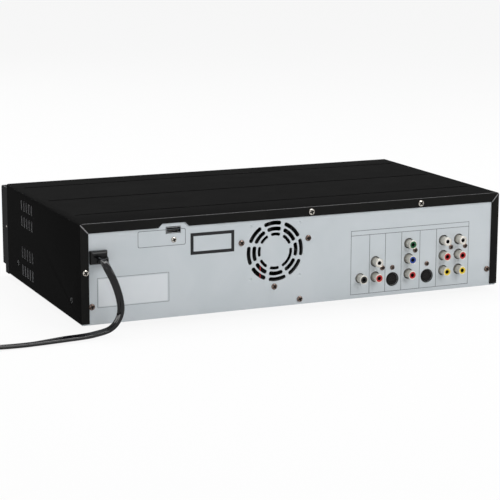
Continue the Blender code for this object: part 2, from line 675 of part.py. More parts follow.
def make_rear_panel(stuff):
    """The rear panel with the fan grille and the holes of the jacks."""
    bm = bmesh.new()
    box(bm, (-INNER_HALF, PANEL_IN, BASE_LIFT), (INNER_HALF, PANEL_OUT, CEILING - GAP))
    panel = finish("rear_panel", bm, stuff["silver_paint"])
    bm = bmesh.new()
    for radius in GRILLE_RADII:
        for slot in range(GRILLE_SLOTS):
            middle = pi / 2 + GRILLE_TURN + slot * 2 * pi / GRILLE_SLOTS
            grille_slot(bm, radius, middle - GRILLE_SLOT_SPAN / 2, GRILLE_SLOT_SPAN)
    cut(panel, bm)
    bm = bmesh.new()
    ends = (PANEL_IN - OVERRUN, PANEL_OUT + OVERRUN)
    hole = BARREL_RADIUS + BARREL_CLEARANCE
    for _, x, heights, _ in jack_columns():
        for z in heights:
            prism(bm, circle(x, z, hole, FEW_SIDES), "Y", *ends)
    prism(bm, circle(COAX_X, LOW_JACK_Z, hole, FEW_SIDES), "Y", *ends)
    for x in (SVIDEO_OUT_X, SVIDEO_IN_X):
        prism(bm, circle(x, SVIDEO_Z, SVIDEO_RADIUS + BARREL_CLEARANCE), "Y", *ends)
    room = 2 * BARREL_CLEARANCE
    prism(bm, rectangle(HDMI_X, HDMI_Z, HDMI_WIDTH + room, HDMI_HEIGHT + room), "Y", *ends)
    seat = (RELIEF_WIDTH - 2 * RELIEF_SEAT + 2 * GAP, RELIEF_HEIGHT - 2 * RELIEF_SEAT + 2 * GAP)
    prism(bm, rectangle(RELIEF_X, RELIEF_Z, *seat), "Y", *ends)
    cut(panel, bm)


def button_places():
    """The buttons: name, x, whether it is round."""
    first = -HALF + FIRST_KEY_FROM_SIDE
    return (
        ("power_button", -HALF + POWER_FROM_SIDE, True),
        ("eject_button", first, False),
        ("stop_button", first + KEY_PITCH, False),
        ("play_button", first + 2 * KEY_PITCH, False),
        ("tray_button", HALF - TRAY_KEY_FROM_SIDE, False),
    )


def button_outline(x, is_round, grow):
    """A button's outline across Y, grown on all sides."""
    if is_round:
        return circle(x, CONTROLS_Z, POWER_RADIUS + grow, SIDES)
    return rectangle(x, CONTROLS_Z, KEY_WIDTH + 2 * grow, KEY_HEIGHT + 2 * grow)


def make_front_panel(stuff):
    """The moulded front panel, open behind, with the openings of all that shows in it."""
    bm = bmesh.new()
    step_y, step_z = BEZEL_FRONT + STEP_BACK, BASE_LIFT + STEP_HEIGHT
    outline = [(BEZEL_BACK, BASE_LIFT), (step_y, BASE_LIFT), (step_y, step_z), (BEZEL_FRONT, step_z)]
    for i in range(4):
        a = pi - i / 3 * pi / 2
        dy, dz = BEZEL_ROUND * (1 + cos(a)), BEZEL_ROUND * (1 - sin(a))
        outline.append((BEZEL_FRONT + dy, BEZEL_TOP - dz))
    outline.append((BEZEL_BACK, BEZEL_TOP))
    prism(bm, outline, "X", -HALF, HALF)
    panel = finish("front_panel", bm, stuff["black_plastic"], True)
    bm = bmesh.new()
    inner = HALF - BEZEL_WALL
    hollow = [(BEZEL_BACK + OVERRUN, BASE_LIFT + BEZEL_WALL), (step_y + BEZEL_WALL, BASE_LIFT + BEZEL_WALL)]
    hollow += [(step_y + BEZEL_WALL, step_z + BEZEL_WALL), (BEZEL_INSIDE, step_z + BEZEL_WALL)]
    hollow += [(BEZEL_INSIDE, BEZEL_TOP - BEZEL_WALL), (BEZEL_BACK + OVERRUN, BEZEL_TOP - BEZEL_WALL)]
    prism(bm, hollow, "X", -inner, inner)
    cut(panel, bm)
    bm = bmesh.new()
    ends = (BEZEL_FRONT - OVERRUN, BEZEL_INSIDE + OVERRUN)
    door_middle = DOOR_TOP - DOOR_HEIGHT / 2
    prism(bm, rectangle(DECK_X, door_middle, DOOR_WIDTH + 2 * DOOR_EASE, DOOR_HEIGHT + 2 * DOOR_EASE), "Y", *ends)
    fascia_z = TRAY_Z + TRAY_THICK - FASCIA_HEIGHT / 2
    opening = (FASCIA_WIDTH + 2 * FASCIA_EASE, FASCIA_HEIGHT + 2 * FASCIA_EASE)
    prism(bm, rectangle(DRIVE_X, fascia_z, *opening), "Y", *ends)
    prism(bm, rectangle(WINDOW_X, CONTROLS_Z, WINDOW_WIDTH, WINDOW_HEIGHT), "Y", *ends)
    for _, x, is_round in button_places():
        prism(bm, button_outline(x, is_round, GAP), "Y", *ends)
    cut(panel, bm)
    bm = bmesh.new()
    pin_low = DOOR_PIVOT.z - DOOR_PIN - GAP
    for side in (-1, 1):
        start = DECK_X + side * (DOOR_WIDTH / 2 + DOOR_EASE)
        x0, x1 = sorted((start, start + side * LUG_WIDTH))
        box(bm, (x0, BEZEL_INSIDE - BEZEL_WALL / 2, pin_low - LUG_HEIGHT), (x1, BEZEL_INSIDE + LUG_DEPTH, pin_low))
    for x in (-HALF + POWER_FROM_SIDE / 2, HALF - TRAY_KEY_FROM_SIDE + KEY_WIDTH):
        y0, y1 = BEZEL_INSIDE - BEZEL_WALL / 2, KEY_BOARD_FRONT - GAP
        box(bm, (x - POST_RADIUS, y0, CONTROLS_Z - POST_RADIUS), (x + POST_RADIUS, y1, CONTROLS_Z + POST_RADIUS))
    weld(panel, bm)


def make_window(stuff):
    """The smoked display window, held behind the opening by its flange."""
    bm = bmesh.new()
    plate = rectangle(WINDOW_X, CONTROLS_Z, WINDOW_WIDTH - 2 * GAP, WINDOW_HEIGHT - 2 * GAP)
    flange = rectangle(WINDOW_X, CONTROLS_Z, WINDOW_WIDTH + 2 * WINDOW_FLANGE, WINDOW_HEIGHT + 2 * WINDOW_FLANGE)
    back = BEZEL_INSIDE + GAP
    stacked(bm, "Y", ((BEZEL_FRONT + GAP, plate), (back, plate), (back, flange), (back + WINDOW_THICK, flange)))
    finish("display_window", bm, stuff["smoked_window"])


def make_buttons(stuff):
    """The buttons, each with a cap, a flange behind the panel and a stem to its switch."""
    back = BEZEL_INSIDE + GAP
    for name, x, is_round in button_places():
        bm = bmesh.new()
        cap, flange = (button_outline(x, is_round, grow) for grow in (0, BUTTON_FLANGE))
        if is_round:
            stem = circle(x, CONTROLS_Z, BUTTON_STEM, SIDES)
        else:
            stem = rectangle(x, CONTROLS_Z, 2 * BUTTON_STEM, 2 * BUTTON_STEM)
        end = KEY_BOARD_FRONT - BUTTON_TRAVEL - SWITCH_ROOM
        rear = back + BUTTON_FLANGE_THICK
        steps = ((CAP_FRONT, cap), (back, cap), (back, flange), (rear, flange), (rear, stem), (end, stem))
        stacked(bm, "Y", steps)
        button = finish(name, bm, stuff["black_plastic"], is_round)
        put_origin(button, (x, CAP_FRONT, CONTROLS_Z))


def make_display_board(stuff):
    """The upright board behind the front panel, with the display tube."""
    bm = bmesh.new()
    low, high = -HALF + POWER_FROM_SIDE / 4, HALF - TRAY_KEY_FROM_SIDE + KEY_WIDTH + BOARD_MARGIN
    rise = WINDOW_HEIGHT / 2 + WINDOW_FLANGE
    box(bm, (low, KEY_BOARD_FRONT, CONTROLS_Z - rise), (high, KEY_BOARD_BACK, CONTROLS_Z + rise))
    board = finish("display_board", bm, stuff["board_green"])
    bm = bmesh.new()
    tube = rectangle(WINDOW_X, CONTROLS_Z, WINDOW_WIDTH - 2 * BOARD_MARGIN, WINDOW_HEIGHT - BOARD_MARGIN / 2)
    prism(bm, tube, "Y", BEZEL_INSIDE + 2 * WINDOW_THICK, KEY_BOARD_FRONT + BOARD_THICK / 2)
    weld(board, bm)


def board_posts():
    """The places of the posts that carry the two boards."""
    left = -HALF + MAIN_BOARD_FROM_SIDE
    right = HALF - POWER_BOARD_FROM_SIDE
    rear = PANEL_IN - BOARD_REAR_ROOM
    for x0, x1, depth in (
        (left, left + MAIN_BOARD_WIDTH, MAIN_BOARD_DEPTH),
        (right - POWER_BOARD_WIDTH, right, POWER_BOARD_DEPTH),
    ):
        for x in (x0 + BOARD_MARGIN, x1 - BOARD_MARGIN):
            for y in (rear - depth + BOARD_MARGIN, rear - BOARD_MARGIN):
                yield x, y


def make_base(stuff):
    """The chassis base: a tray of sheet steel with posts for the boards."""
    bm = bmesh.new()
    rear = PANEL_IN - GAP
    box(bm, (-INNER_HALF, COVER_FRONT, BASE_LIFT), (INNER_HALF, rear, BASE_FLOOR + BASE_FLANGE))
    base = finish("chassis_base", bm, stuff["zinc"])
    bm = bmesh.new()
    inner = INNER_HALF - SHEET
    box(bm, (-inner, COVER_FRONT + SHEET, BASE_FLOOR), (inner, rear - SHEET, BASE_FLOOR + BASE_FLANGE + OVERRUN))
    cut(base, bm)
    bm = bmesh.new()
    low = BASE_FLOOR + BASE_REAR_FLANGE
    box(bm, (-inner, rear - SHEET - OVERRUN, low), (inner, rear + OVERRUN, low + BASE_FLANGE + OVERRUN))
    cut(base, bm)
    bm = bmesh.new()
    for x, y in board_posts():
        turned(bm, "Z", x, y, ((BASE_FLOOR - SHEET / 2, POST_RADIUS), (BOARD_Z - GAP, POST_RADIUS)), FEW_SIDES)
    weld(base, bm)


def make_feet(stuff):
    """Four tapered feet under the base."""
    x = HALF - FOOT_FROM_SIDE
    places = {
        "foot_front_left": (-x, BEZEL_FRONT + FOOT_FROM_FRONT),
        "foot_front_right": (x, BEZEL_FRONT + FOOT_FROM_FRONT),
        "foot_rear_left": (-x, LIP_Y - FOOT_FROM_REAR),
        "foot_rear_right": (x, LIP_Y - FOOT_FROM_REAR),
    }
    for name, (u, v) in places.items():
        bm = bmesh.new()
        turned(bm, "Z", u, v, ((0, FOOT_RADIUS - FOOT_TAPER), (BASE_LIFT - GAP, FOOT_RADIUS)))
        finish(name, bm, stuff["rubber"], True)


def make_main_board(stuff):
    """The main board under the tape deck, with its larger chips, and room for the deck's legs."""
    left = -HALF + MAIN_BOARD_FROM_SIDE
    rear = PANEL_IN - BOARD_REAR_ROOM
    bm = bmesh.new()
    box(bm, (left, rear - MAIN_BOARD_DEPTH, BOARD_Z), (left + MAIN_BOARD_WIDTH, rear, BOARD_TOP))
    board = finish("main_board", bm, stuff["board_green"])
    bm = bmesh.new()
    for x, y in deck_leg_places():
        room = DECK_LEG + 2 * SHEET
        prism(bm, rectangle(x, y, room, room), "Z", BOARD_Z - OVERRUN, BOARD_TOP + OVERRUN)
    cut(board, bm)
    bm = bmesh.new()
    for column in range(3):
        x = left + CHIP_SIZE * (2 + 2 * column)
        y = rear - CHIP_FROM_REAR
        box(bm, (x, y, BOARD_Z + BOARD_THICK / 2), (x + CHIP_SIZE, y + CHIP_SIZE, BOARD_TOP + CHIP_HEIGHT))
    weld(board, bm)


def make_power_parts(stuff):
    """The power board with its transformer, main capacitor and heat sink."""
    right = HALF - POWER_BOARD_FROM_SIDE
    rear = PANEL_IN - BOARD_REAR_ROOM
    bm = bmesh.new()
    box(bm, (right - POWER_BOARD_WIDTH, rear - POWER_BOARD_DEPTH, BOARD_Z), (right, rear, BOARD_TOP))
    finish("power_board", bm, stuff["board_green"])
    seat = BOARD_TOP + GAP
    x, y = HALF - TRANSFORMER_X, PANEL_IN - TRANSFORMER_Y
    wide = rectangle(x, y, TRANSFORMER_WIDTH, TRANSFORMER_DEPTH)
    narrow = rectangle(x, y, TRANSFORMER_WIDTH - TRANSFORMER_WAIST, TRANSFORMER_DEPTH - TRANSFORMER_WAIST)
    low, high = seat + TRANSFORMER_WAIST, seat + TRANSFORMER_HEIGHT - TRANSFORMER_WAIST
    bm = bmesh.new()
    rows = ((seat, wide), (low, wide), (low, narrow), (high, narrow), (high, wide), (seat + TRANSFORMER_HEIGHT, wide))
    stacked(bm, "Z", rows)
    finish("power_transformer", bm, stuff["tape_yellow"])
    x, y = HALF - CAPACITOR_X, PANEL_IN - CAPACITOR_Y
    top = seat + CAPACITOR_HEIGHT
    edge = CAPACITOR_RADIUS - CAPACITOR_ROUND
    bm = bmesh.new()
    turned(bm, "Z", x, y, ((seat, CAPACITOR_RADIUS), (top - CAPACITOR_ROUND, CAPACITOR_RADIUS), (top, edge)))
    finish("main_capacitor", bm, stuff["grey_plastic"], True)
    x, y = HALF - HEAT_SINK_X, PANEL_IN - HEAT_SINK_Y
    left, pitch = x - HEAT_SINK_WIDTH / 2, (HEAT_SINK_WIDTH - FIN_THICK) / (FIN_COUNT - 1)
    outline = [(left, y), (left + HEAT_SINK_WIDTH, y)]
    root, tip = y + HEAT_SINK_BACK, y + HEAT_SINK_BACK + FIN_LENGTH
    for fin in reversed(range(FIN_COUNT)):
        start = left + fin * pitch
        outline += [(start + FIN_THICK, tip), (start, tip)]
        if fin:
            outline += [(start, root), (start - pitch + FIN_THICK, root)]
    bm = bmesh.new()
    prism(bm, outline, "Z", seat, seat + HEAT_SINK_HEIGHT)
    finish("heat_sink", bm, stuff["aluminium"])


def barrel(bm, x, z):
    """One phono barrel that stands out of its body, with its socket."""
    start, tip = PANEL_IN - GAP - JACK_BODY_DEPTH / 2, PANEL_OUT + JACK_PROUD
    depth = tip - BARREL_HOLE_DEPTH
    profile = ((start, BARREL_RADIUS), (tip, BARREL_RADIUS), (tip, BARREL_HOLE_RADIUS), (depth, BARREL_HOLE_RADIUS))
    turned(bm, "Y", x, z, profile, FEW_SIDES)


def make_jacks(stuff):
    """The jack blocks on the main board, with their barrels through the rear panel."""
    body_y = (PANEL_IN - GAP - JACK_BODY_DEPTH, PANEL_IN - GAP)
    seat = BOARD_TOP + GAP
    for name, x, heights, width in jack_columns():
        bm = bmesh.new()
        top = heights[-1] + JACK_BODY_MARGIN
        box(bm, (x - width / 2, body_y[0], seat), (x + width / 2, body_y[1], top))
        block = finish(name, bm, stuff["nickel"], True)
        bm = bmesh.new()
        for z in heights:
            barrel(bm, x, z)
        weld(block, bm)
    for name, x in (("svideo_out_jack", SVIDEO_OUT_X), ("svideo_in_jack", SVIDEO_IN_X)):
        bm = bmesh.new()
        half = JACK_BODY_WIDTH / 2
        box(bm, (x - half, body_y[0], seat), (x + half, body_y[1], SVIDEO_Z + half))
        block = finish(name, bm, stuff["black_plastic"], True)
        bm = bmesh.new()
        tip = PANEL_OUT + SVIDEO_PROUD
        turned(bm, "Y", x, SVIDEO_Z, ((body_y[0] + half, SVIDEO_RADIUS), (tip, SVIDEO_RADIUS)))
        weld(block, bm)
        bm = bmesh.new()
        prism(bm, circle(x, SVIDEO_Z, SVIDEO_SOCKET_RADIUS), "Y", tip - SVIDEO_SOCKET_DEPTH, tip + OVERRUN)
        cut(block, bm)
    x = COAX_X
    bm = bmesh.new()
    half = TUNER_WIDTH / 2
    box(bm, (x - half, body_y[0] - TUNER_WIDTH, seat), (x + half, body_y[1], seat + TUNER_HEIGHT))
    block = finish("coax_jack", bm, stuff["nickel"], True)
    bm = bmesh.new()
    barrel(bm, x, LOW_JACK_Z)
    weld(block, bm)


def make_hdmi(stuff):
    """The HDMI connector and the small board that carries it."""
    bm = bmesh.new()
    end, mouth = PANEL_IN - HDMI_DEPTH, PANEL_OUT + HDMI_PROUD
    outer = rectangle(HDMI_X, HDMI_Z, HDMI_WIDTH, HDMI_HEIGHT)
    inner = rectangle(HDMI_X, HDMI_Z, HDMI_WIDTH - 2 * HDMI_WALL, HDMI_HEIGHT - 2 * HDMI_WALL)
    stacked(bm, "Y", ((end, outer), (mouth, outer), (mouth, inner), (mouth - HDMI_SOCKET_DEPTH, inner)))
    finish("hdmi_connector", bm, stuff["nickel"])
    bm = bmesh.new()
    top = HDMI_Z - HDMI_HEIGHT / 2 - GAP
    x = HDMI_X + HDMI_BOARD_SHIFT
    half = HDMI_BOARD_WIDTH / 2
    rear = PANEL_IN - GAP
    box(bm, (x - half, rear - HDMI_BOARD_DEPTH, top - BOARD_THICK), (x + half, rear, top))
    finish("hdmi_board", bm, stuff["board_green"])


def make_fan(stuff):
    """The cooling fan: a square frame with its motor on four spokes, and the rotor."""
    inner_y = FAN_BACK - FAN_DEPTH
    bm = bmesh.new()
    half = FAN_SIZE / 2
    box(bm, (FAN_X - half, inner_y, FAN_Z - half), (FAN_X + half, FAN_BACK, FAN_Z + half))
    frame = finish("fan_frame", bm, stuff["black_plastic"], True)
    bm = bmesh.new()
    ends = (inner_y - OVERRUN, FAN_BACK + OVERRUN)
    prism(bm, circle(FAN_X, FAN_Z, FAN_BORE, FINE_SIDES), "Y", *ends)
    for sx in (-1, 1):
        for sz in (-1, 1):
            u, v = FAN_X + sx * FAN_SCREW_PITCH / 2, FAN_Z + sz * FAN_SCREW_PITCH / 2
            prism(bm, circle(u, v, FAN_SCREW_HOLE, FEW_SIDES), "Y", *ends)
    cut(frame, bm)
    bm = bmesh.new()
    thick = inner_y + FAN_SPOKE_THICK
    reach = (FAN_BORE + FAN_SIZE / 2) / 2
    box(bm, (FAN_X - reach, inner_y, FAN_Z - FAN_SPOKE / 2), (FAN_X + reach, thick, FAN_Z + FAN_SPOKE / 2))
    weld(frame, bm)
    bm = bmesh.new()
    box(bm, (FAN_X - FAN_SPOKE / 2, inner_y, FAN_Z - reach), (FAN_X + FAN_SPOKE / 2, thick, FAN_Z + reach))
    weld(frame, bm)
    bm = bmesh.new()
    turned(bm, "Y", FAN_X, FAN_Z, ((inner_y, FAN_MOTOR_RADIUS), (thick, FAN_MOTOR_RADIUS)))
    weld(frame, bm)
    bm = bmesh.new()
    start, end = thick + GAP, FAN_BACK - FAN_FRONT_ROOM
    turned(bm, "Y", FAN_X, FAN_Z, ((start, FAN_HUB_RADIUS), (end, FAN_HUB_RADIUS)))
    rotor = finish("fan_rotor", bm, stuff["black_plastic"], True)
    bm = bmesh.new()
    chord = (end - start - 2 * GAP) / 2
    for blade in range(FAN_BLADES):
        turn = Matrix.Rotation(2 * pi * blade / FAN_BLADES, 3, "Y")
        rings = []
        for radius in (FAN_HUB_RADIUS - FAN_BLADE_THICK, FAN_TIP_RADIUS):
            lean = chord * sin(FAN_BLADE_PITCH) / cos(FAN_BLADE_PITCH)
            ring = []
            for along, side in ((-1, -1), (1, -1), (1, 1), (-1, 1)):
                point = Vector((along * lean + side * FAN_BLADE_THICK / 2, along * chord, radius))
                ring.append(turn @ point + Vector((FAN_X, (start + end) / 2, FAN_Z)))
            rings.append(ring)
        skin(bm, rings)
    weld(rotor, bm)
    put_origin(rotor, (FAN_X, (start + end) / 2, FAN_Z))


def smooth_route(points, step):
    """Points a step apart on a smooth curve through the given points."""
    points = [Vector(p) for p in points]
    points = [2 * points[0] - points[1], *points, 2 * points[-1] - points[-2]]
    dense = []
    for before, start, end, after in zip(points, points[1:], points[2:], points[3:]):
        for i in range(20):
            t = i / 20
            bend = 2 * start + (end - before) * t + (2 * before - 5 * start + 4 * end - after) * t * t
            dense.append((bend + (3 * start - before - 3 * end + after) * t**3) / 2)
    dense.append(points[-2])
    lengths = [0.0]
    for near, far in zip(dense, dense[1:]):
        lengths.append(lengths[-1] + (far - near).length)
    count = round(lengths[-1] / step)
    route, k = [], 0
    for i in range(count + 1):
        want = lengths[-1] * i / count
        while k < len(dense) - 2 and lengths[k + 1] < want:
            k += 1
        part = (want - lengths[k]) / (lengths[k + 1] - lengths[k])
        route.append(dense[k].lerp(dense[k + 1], part))
    return route


def cord_route():
    """The cord's way from its strain relief down to the floor and out to its coil, chosen by hand."""
    points = (
        (200.6, 133.2, 68.1),
        (200.3, 137.6, 67.6),
        (199.3, 141.8, 66.2),
        (197.9, 144.8, 62.6),
        (196.0, 146.8, 58.6),
        (193.8, 147.9, 53.9),
        (191.4, 148.3, 47.9),
        (189.2, 148.1, 42.1),
        (187.2, 147.6, 35.5),
        (186.1, 147.0, 29.7),
        (186.0, 146.3, 24.7),
        (187.1, 145.7, 19.7),
        (189.5, 145.0, 14.2),
        (193.0, 144.4, 9.3),
        (197.4, 144.2, 5.4),
        (203.0, 145.0, 3.1),
        (210.0, 147.2, 2.6),
        (218.4, 150.2, 2.6),
        (228.5, 152.4, 2.6),
        (241.0, 153.8, 2.6),
        (257.0, 154.6, 2.6),
        (274.0, 154.8, 2.6),
        (292.0, 154.8, 2.6),
        (311.0, 154.6, 2.6),
        (330.0, 154.4, 2.6),
        (338.0, 154.4, 2.6),
    )
    return [Vector(p) * MM for p in points]


def coil_route():
    """The coil's turns: in along the floor, up a layer where they turn round, and out again to the plug."""
    end = cord_route()[-1]
    start = end + Vector((CORD_DIAMETER + GAP, 0, 0))
    centre = start + Vector((CORD_DIAMETER, -COIL_RADIUS, 0))
    turns = 2 * COIL_LAYER_TURNS + COIL_CLIMB_TURNS
    middle = turns / 2
    count = round(turns * LOOP_STEP_COUNT)
    points = [start - Vector((CORD_DIAMETER, 0, 0))]
    for i in range(count + 1):
        turn = turns * i / count
        radius = COIL_RADIUS - COIL_PITCH * (middle - abs(turn - middle))
        climb = min(max((turn - COIL_LAYER_TURNS) / COIL_CLIMB_TURNS, 0), 1)
        angle = pi / 2 - 2 * pi * turn
        way = Vector((cos(angle), sin(angle), 0))
        points.append(centre + way * radius + Vector((0, 0, COIL_PITCH * climb)))
    points.append(points[-1] - Vector((0, TAIL_LENGTH / 2, 0)))
    points.append(points[-1] - Vector((0, TAIL_LENGTH / 2, 0)))
    return points


def least_gap(points):
    """The least gap between two turns of the coil."""
    least = COIL_RADIUS
    near = LOOP_STEP_COUNT // 3
    for i, point in enumerate(points):
        for j in range(i + near, len(points) - 1):
            start, end = points[j], points[j + 1]
            way = end - start
            part = min(max((point - start).dot(way) / way.length_squared, 0), 1)
            least = min(least, (point - start - way * part).length)
    return least - CORD_DIAMETER


def tube(name, points, stuff, resolution):
    """A cord along a row of points, with closed ends."""
    curve = bpy.data.curves.new(name, "CURVE")
    curve.dimensions = "3D"
    curve.bevel_depth = CORD_DIAMETER / 2
    curve.bevel_resolution = resolution
    curve.use_fill_caps = True
    line = curve.splines.new("POLY")
    line.points.add(len(points) - 1)
    for place, point in zip(line.points, points):
        place.co = (*point, 1)
    curve.materials.append(stuff)
    made = bpy.data.objects.new(name, curve)
    bpy.context.scene.collection.objects.link(made)


def make_cord(stuff):
    """The strain relief, the cord, its coil and its plug."""
    seat = (RELIEF_WIDTH - 2 * RELIEF_SEAT, RELIEF_HEIGHT - 2 * RELIEF_SEAT)
    outer = rectangle(RELIEF_X, RELIEF_Z, RELIEF_WIDTH, RELIEF_HEIGHT)
    neck = rectangle(RELIEF_X, RELIEF_Z, *seat)
    nose = rectangle(RELIEF_X, RELIEF_Z, RELIEF_NOSE_WIDTH, RELIEF_NOSE_HEIGHT)
    face = PANEL_OUT + GAP
    bm = bmesh.new()
    rows = ((PANEL_IN - RELIEF_INSIDE, nose), (PANEL_IN - GAP, neck), (face, neck), (face, outer))
    stacked(bm, "Y", (*rows, (face + RELIEF_PROUD / 2, outer), (PANEL_OUT + RELIEF_PROUD, nose)))
    finish("strain_relief", bm, stuff["black_plastic"])
    tube("power_cord", smooth_route(cord_route(), CORD_STEP), stuff["cord_black"], 2)
    coil = coil_route()
    tube("power_cord_coil", coil, stuff["cord_black"], 1)
    print(f"least gap of the coil to itself: {least_gap(coil) / MM:.2f} mm")
    end = coil[-1]
    face = end.y - GAP
    rows = []
    collar_end, shoulder = face - PLUG_COLLAR, face - PLUG_COLLAR - PLUG_CORNER
    for y, width, height in (
        (face, CORD_DIAMETER + 2 * PLUG_CORNER / 3, CORD_DIAMETER + PLUG_CORNER / 3),
        (collar_end, PLUG_COLLAR_WIDTH, PLUG_COLLAR_WIDTH),
        (shoulder, PLUG_WIDTH, PLUG_HEIGHT),
        (face - PLUG_COLLAR - PLUG_LENGTH, PLUG_WIDTH, PLUG_HEIGHT),
    ):
        rows.append((y, rounded(end.x, end.z, width, height, min(width, height) / 4)))
    bm = bmesh.new()
    stacked(bm, "Y", rows)
    plug = finish("power_plug", bm, stuff["cord_black"], True)
    front = face - PLUG_COLLAR - PLUG_LENGTH
    bm = bmesh.new()
    for side in (-1, 1):
        x = end.x + side * BLADE_PITCH / 2
        low = (x - BLADE_THICK / 2, front - BLADE_LENGTH, end.z - BLADE_WIDTH / 2)
        box(bm, low, (x + BLADE_THICK / 2, front + BLADE_ROOT, end.z + BLADE_WIDTH / 2))
    weld(plug, bm)


def gear_outline(x, y):
    """The tray gear's teeth, with a tooth towards +X, in the gap of the rack."""
    tip = GEAR_RADIUS + ADDENDUM_SHARE * MODULE
    root = GEAR_RADIUS - DEDENDUM_SHARE * MODULE
    half = (pi * MODULE / 2 - BACKLASH) / 2
    tip_half = half - ADDENDUM_SHARE * MODULE * PRESSURE_TANGENT
    root_half = half + DEDENDUM_SHARE * MODULE * PRESSURE_TANGENT
    points = []
    for tooth in range(GEAR_TEETH):
        middle = 2 * pi * tooth / GEAR_TEETH
        for radius, width in ((root, -root_half), (tip, -tip_half), (tip, tip_half), (root, root_half)):
            a = middle + width / radius
            points.append((x + radius * cos(a), y + radius * sin(a)))
    return points


def rack_outline():
    """The rack under the tray, with a gap opposite the gear's middle."""
    pitch = pi * MODULE
    tip = DRIVE_X + RACK_X - ADDENDUM_SHARE * MODULE
    root = DRIVE_X + RACK_X + DEDENDUM_SHARE * MODULE
    half = (pitch / 2 - BACKLASH) / 2
    tip_half = half - ADDENDUM_SHARE * MODULE * PRESSURE_TANGENT
    root_half = half + DEDENDUM_SHARE * MODULE * PRESSURE_TANGENT
    teeth = round(TRAY_TRAVEL / pitch) + RACK_SPARE_COUNT
    points = []
    for tooth in range(-1, teeth):
        y = GEAR_Y + (tooth + 0.5) * pitch
        points += [(root, y - root_half), (tip, y - tip_half), (tip, y + tip_half), (root, y + root_half)]
    back = root + RACK_BACK
    return [*points, (back, points[-1][1]), (back, points[0][1])]


def make_drive_frame(stuff):
    """The moulded frame of the disc drive: rails for the tray beside a well for the mechanism."""
    half = DRIVE_WIDTH / 2
    rear = DRIVE_FRONT + DRIVE_DEPTH
    board = PANEL_IN - BOARD_REAR_ROOM - POWER_BOARD_DEPTH
    bm = bmesh.new()
    box(bm, (DRIVE_X - half, DRIVE_FRONT, DRIVE_Z), (DRIVE_X + half, rear, DRIVE_TOP))
    frame = finish("drive_frame", bm, stuff["grey_plastic"])
    bm = bmesh.new()
    channel = TRAY_WIDTH / 2 + RUNNING
    low = (DRIVE_X - channel, DRIVE_FRONT - OVERRUN, TRAY_Z - GAP)
    box(bm, low, (DRIVE_X + channel, rear - DRIVE_WALL, DRIVE_TOP + OVERRUN))
    cut(frame, bm)
    bm = bmesh.new()
    well = DRIVE_WELL_WIDTH / 2
    low = (DRIVE_X - well, DRIVE_FRONT + DRIVE_WELL_FRONT, DRIVE_BASE)
    box(bm, low, (DRIVE_X + well, rear - DRIVE_WELL_REAR, DRIVE_TOP))
    cut(frame, bm)
    bm = bmesh.new()
    low = (DRIVE_X + RACK_X - 2 * MODULE, DRIVE_FRONT - OVERRUN, GEAR_Z - RUNNING)
    box(bm, low, (DRIVE_X + well - GAP, DRIVE_FRONT + 2 * DRIVE_WELL_FRONT, TRAY_Z))
    cut(frame, bm)
    bm = bmesh.new()
    for side in (-1, 1):
        x = DRIVE_X + side * (TRAVERSE_HALF + TRAVERSE_PIN_LENGTH / 2)
        reach = TRAVERSE_PIN_LENGTH / 2
        low = (x - reach, PIVOT_Y - PIVOT_POST_DEPTH / 2, DRIVE_BASE - DRIVE_FLOOR / 2)
        box(bm, low, (x + reach, PIVOT_Y + PIVOT_POST_DEPTH / 2, PIVOT_Z - TRAVERSE_PIN - GAP))
        u = DRIVE_X + side * (half - DRIVE_FOOT)
        for v in (DRIVE_FRONT + DRIVE_FOOT, board - DRIVE_FOOT - BOARD_MARGIN / 2):
            low = (u - DRIVE_FOOT / 2, v, BASE_FLOOR + GAP)
            box(bm, low, (u + DRIVE_FOOT / 2, v + DRIVE_FOOT, DRIVE_Z + DRIVE_FLOOR / 2))
    weld(frame, bm)


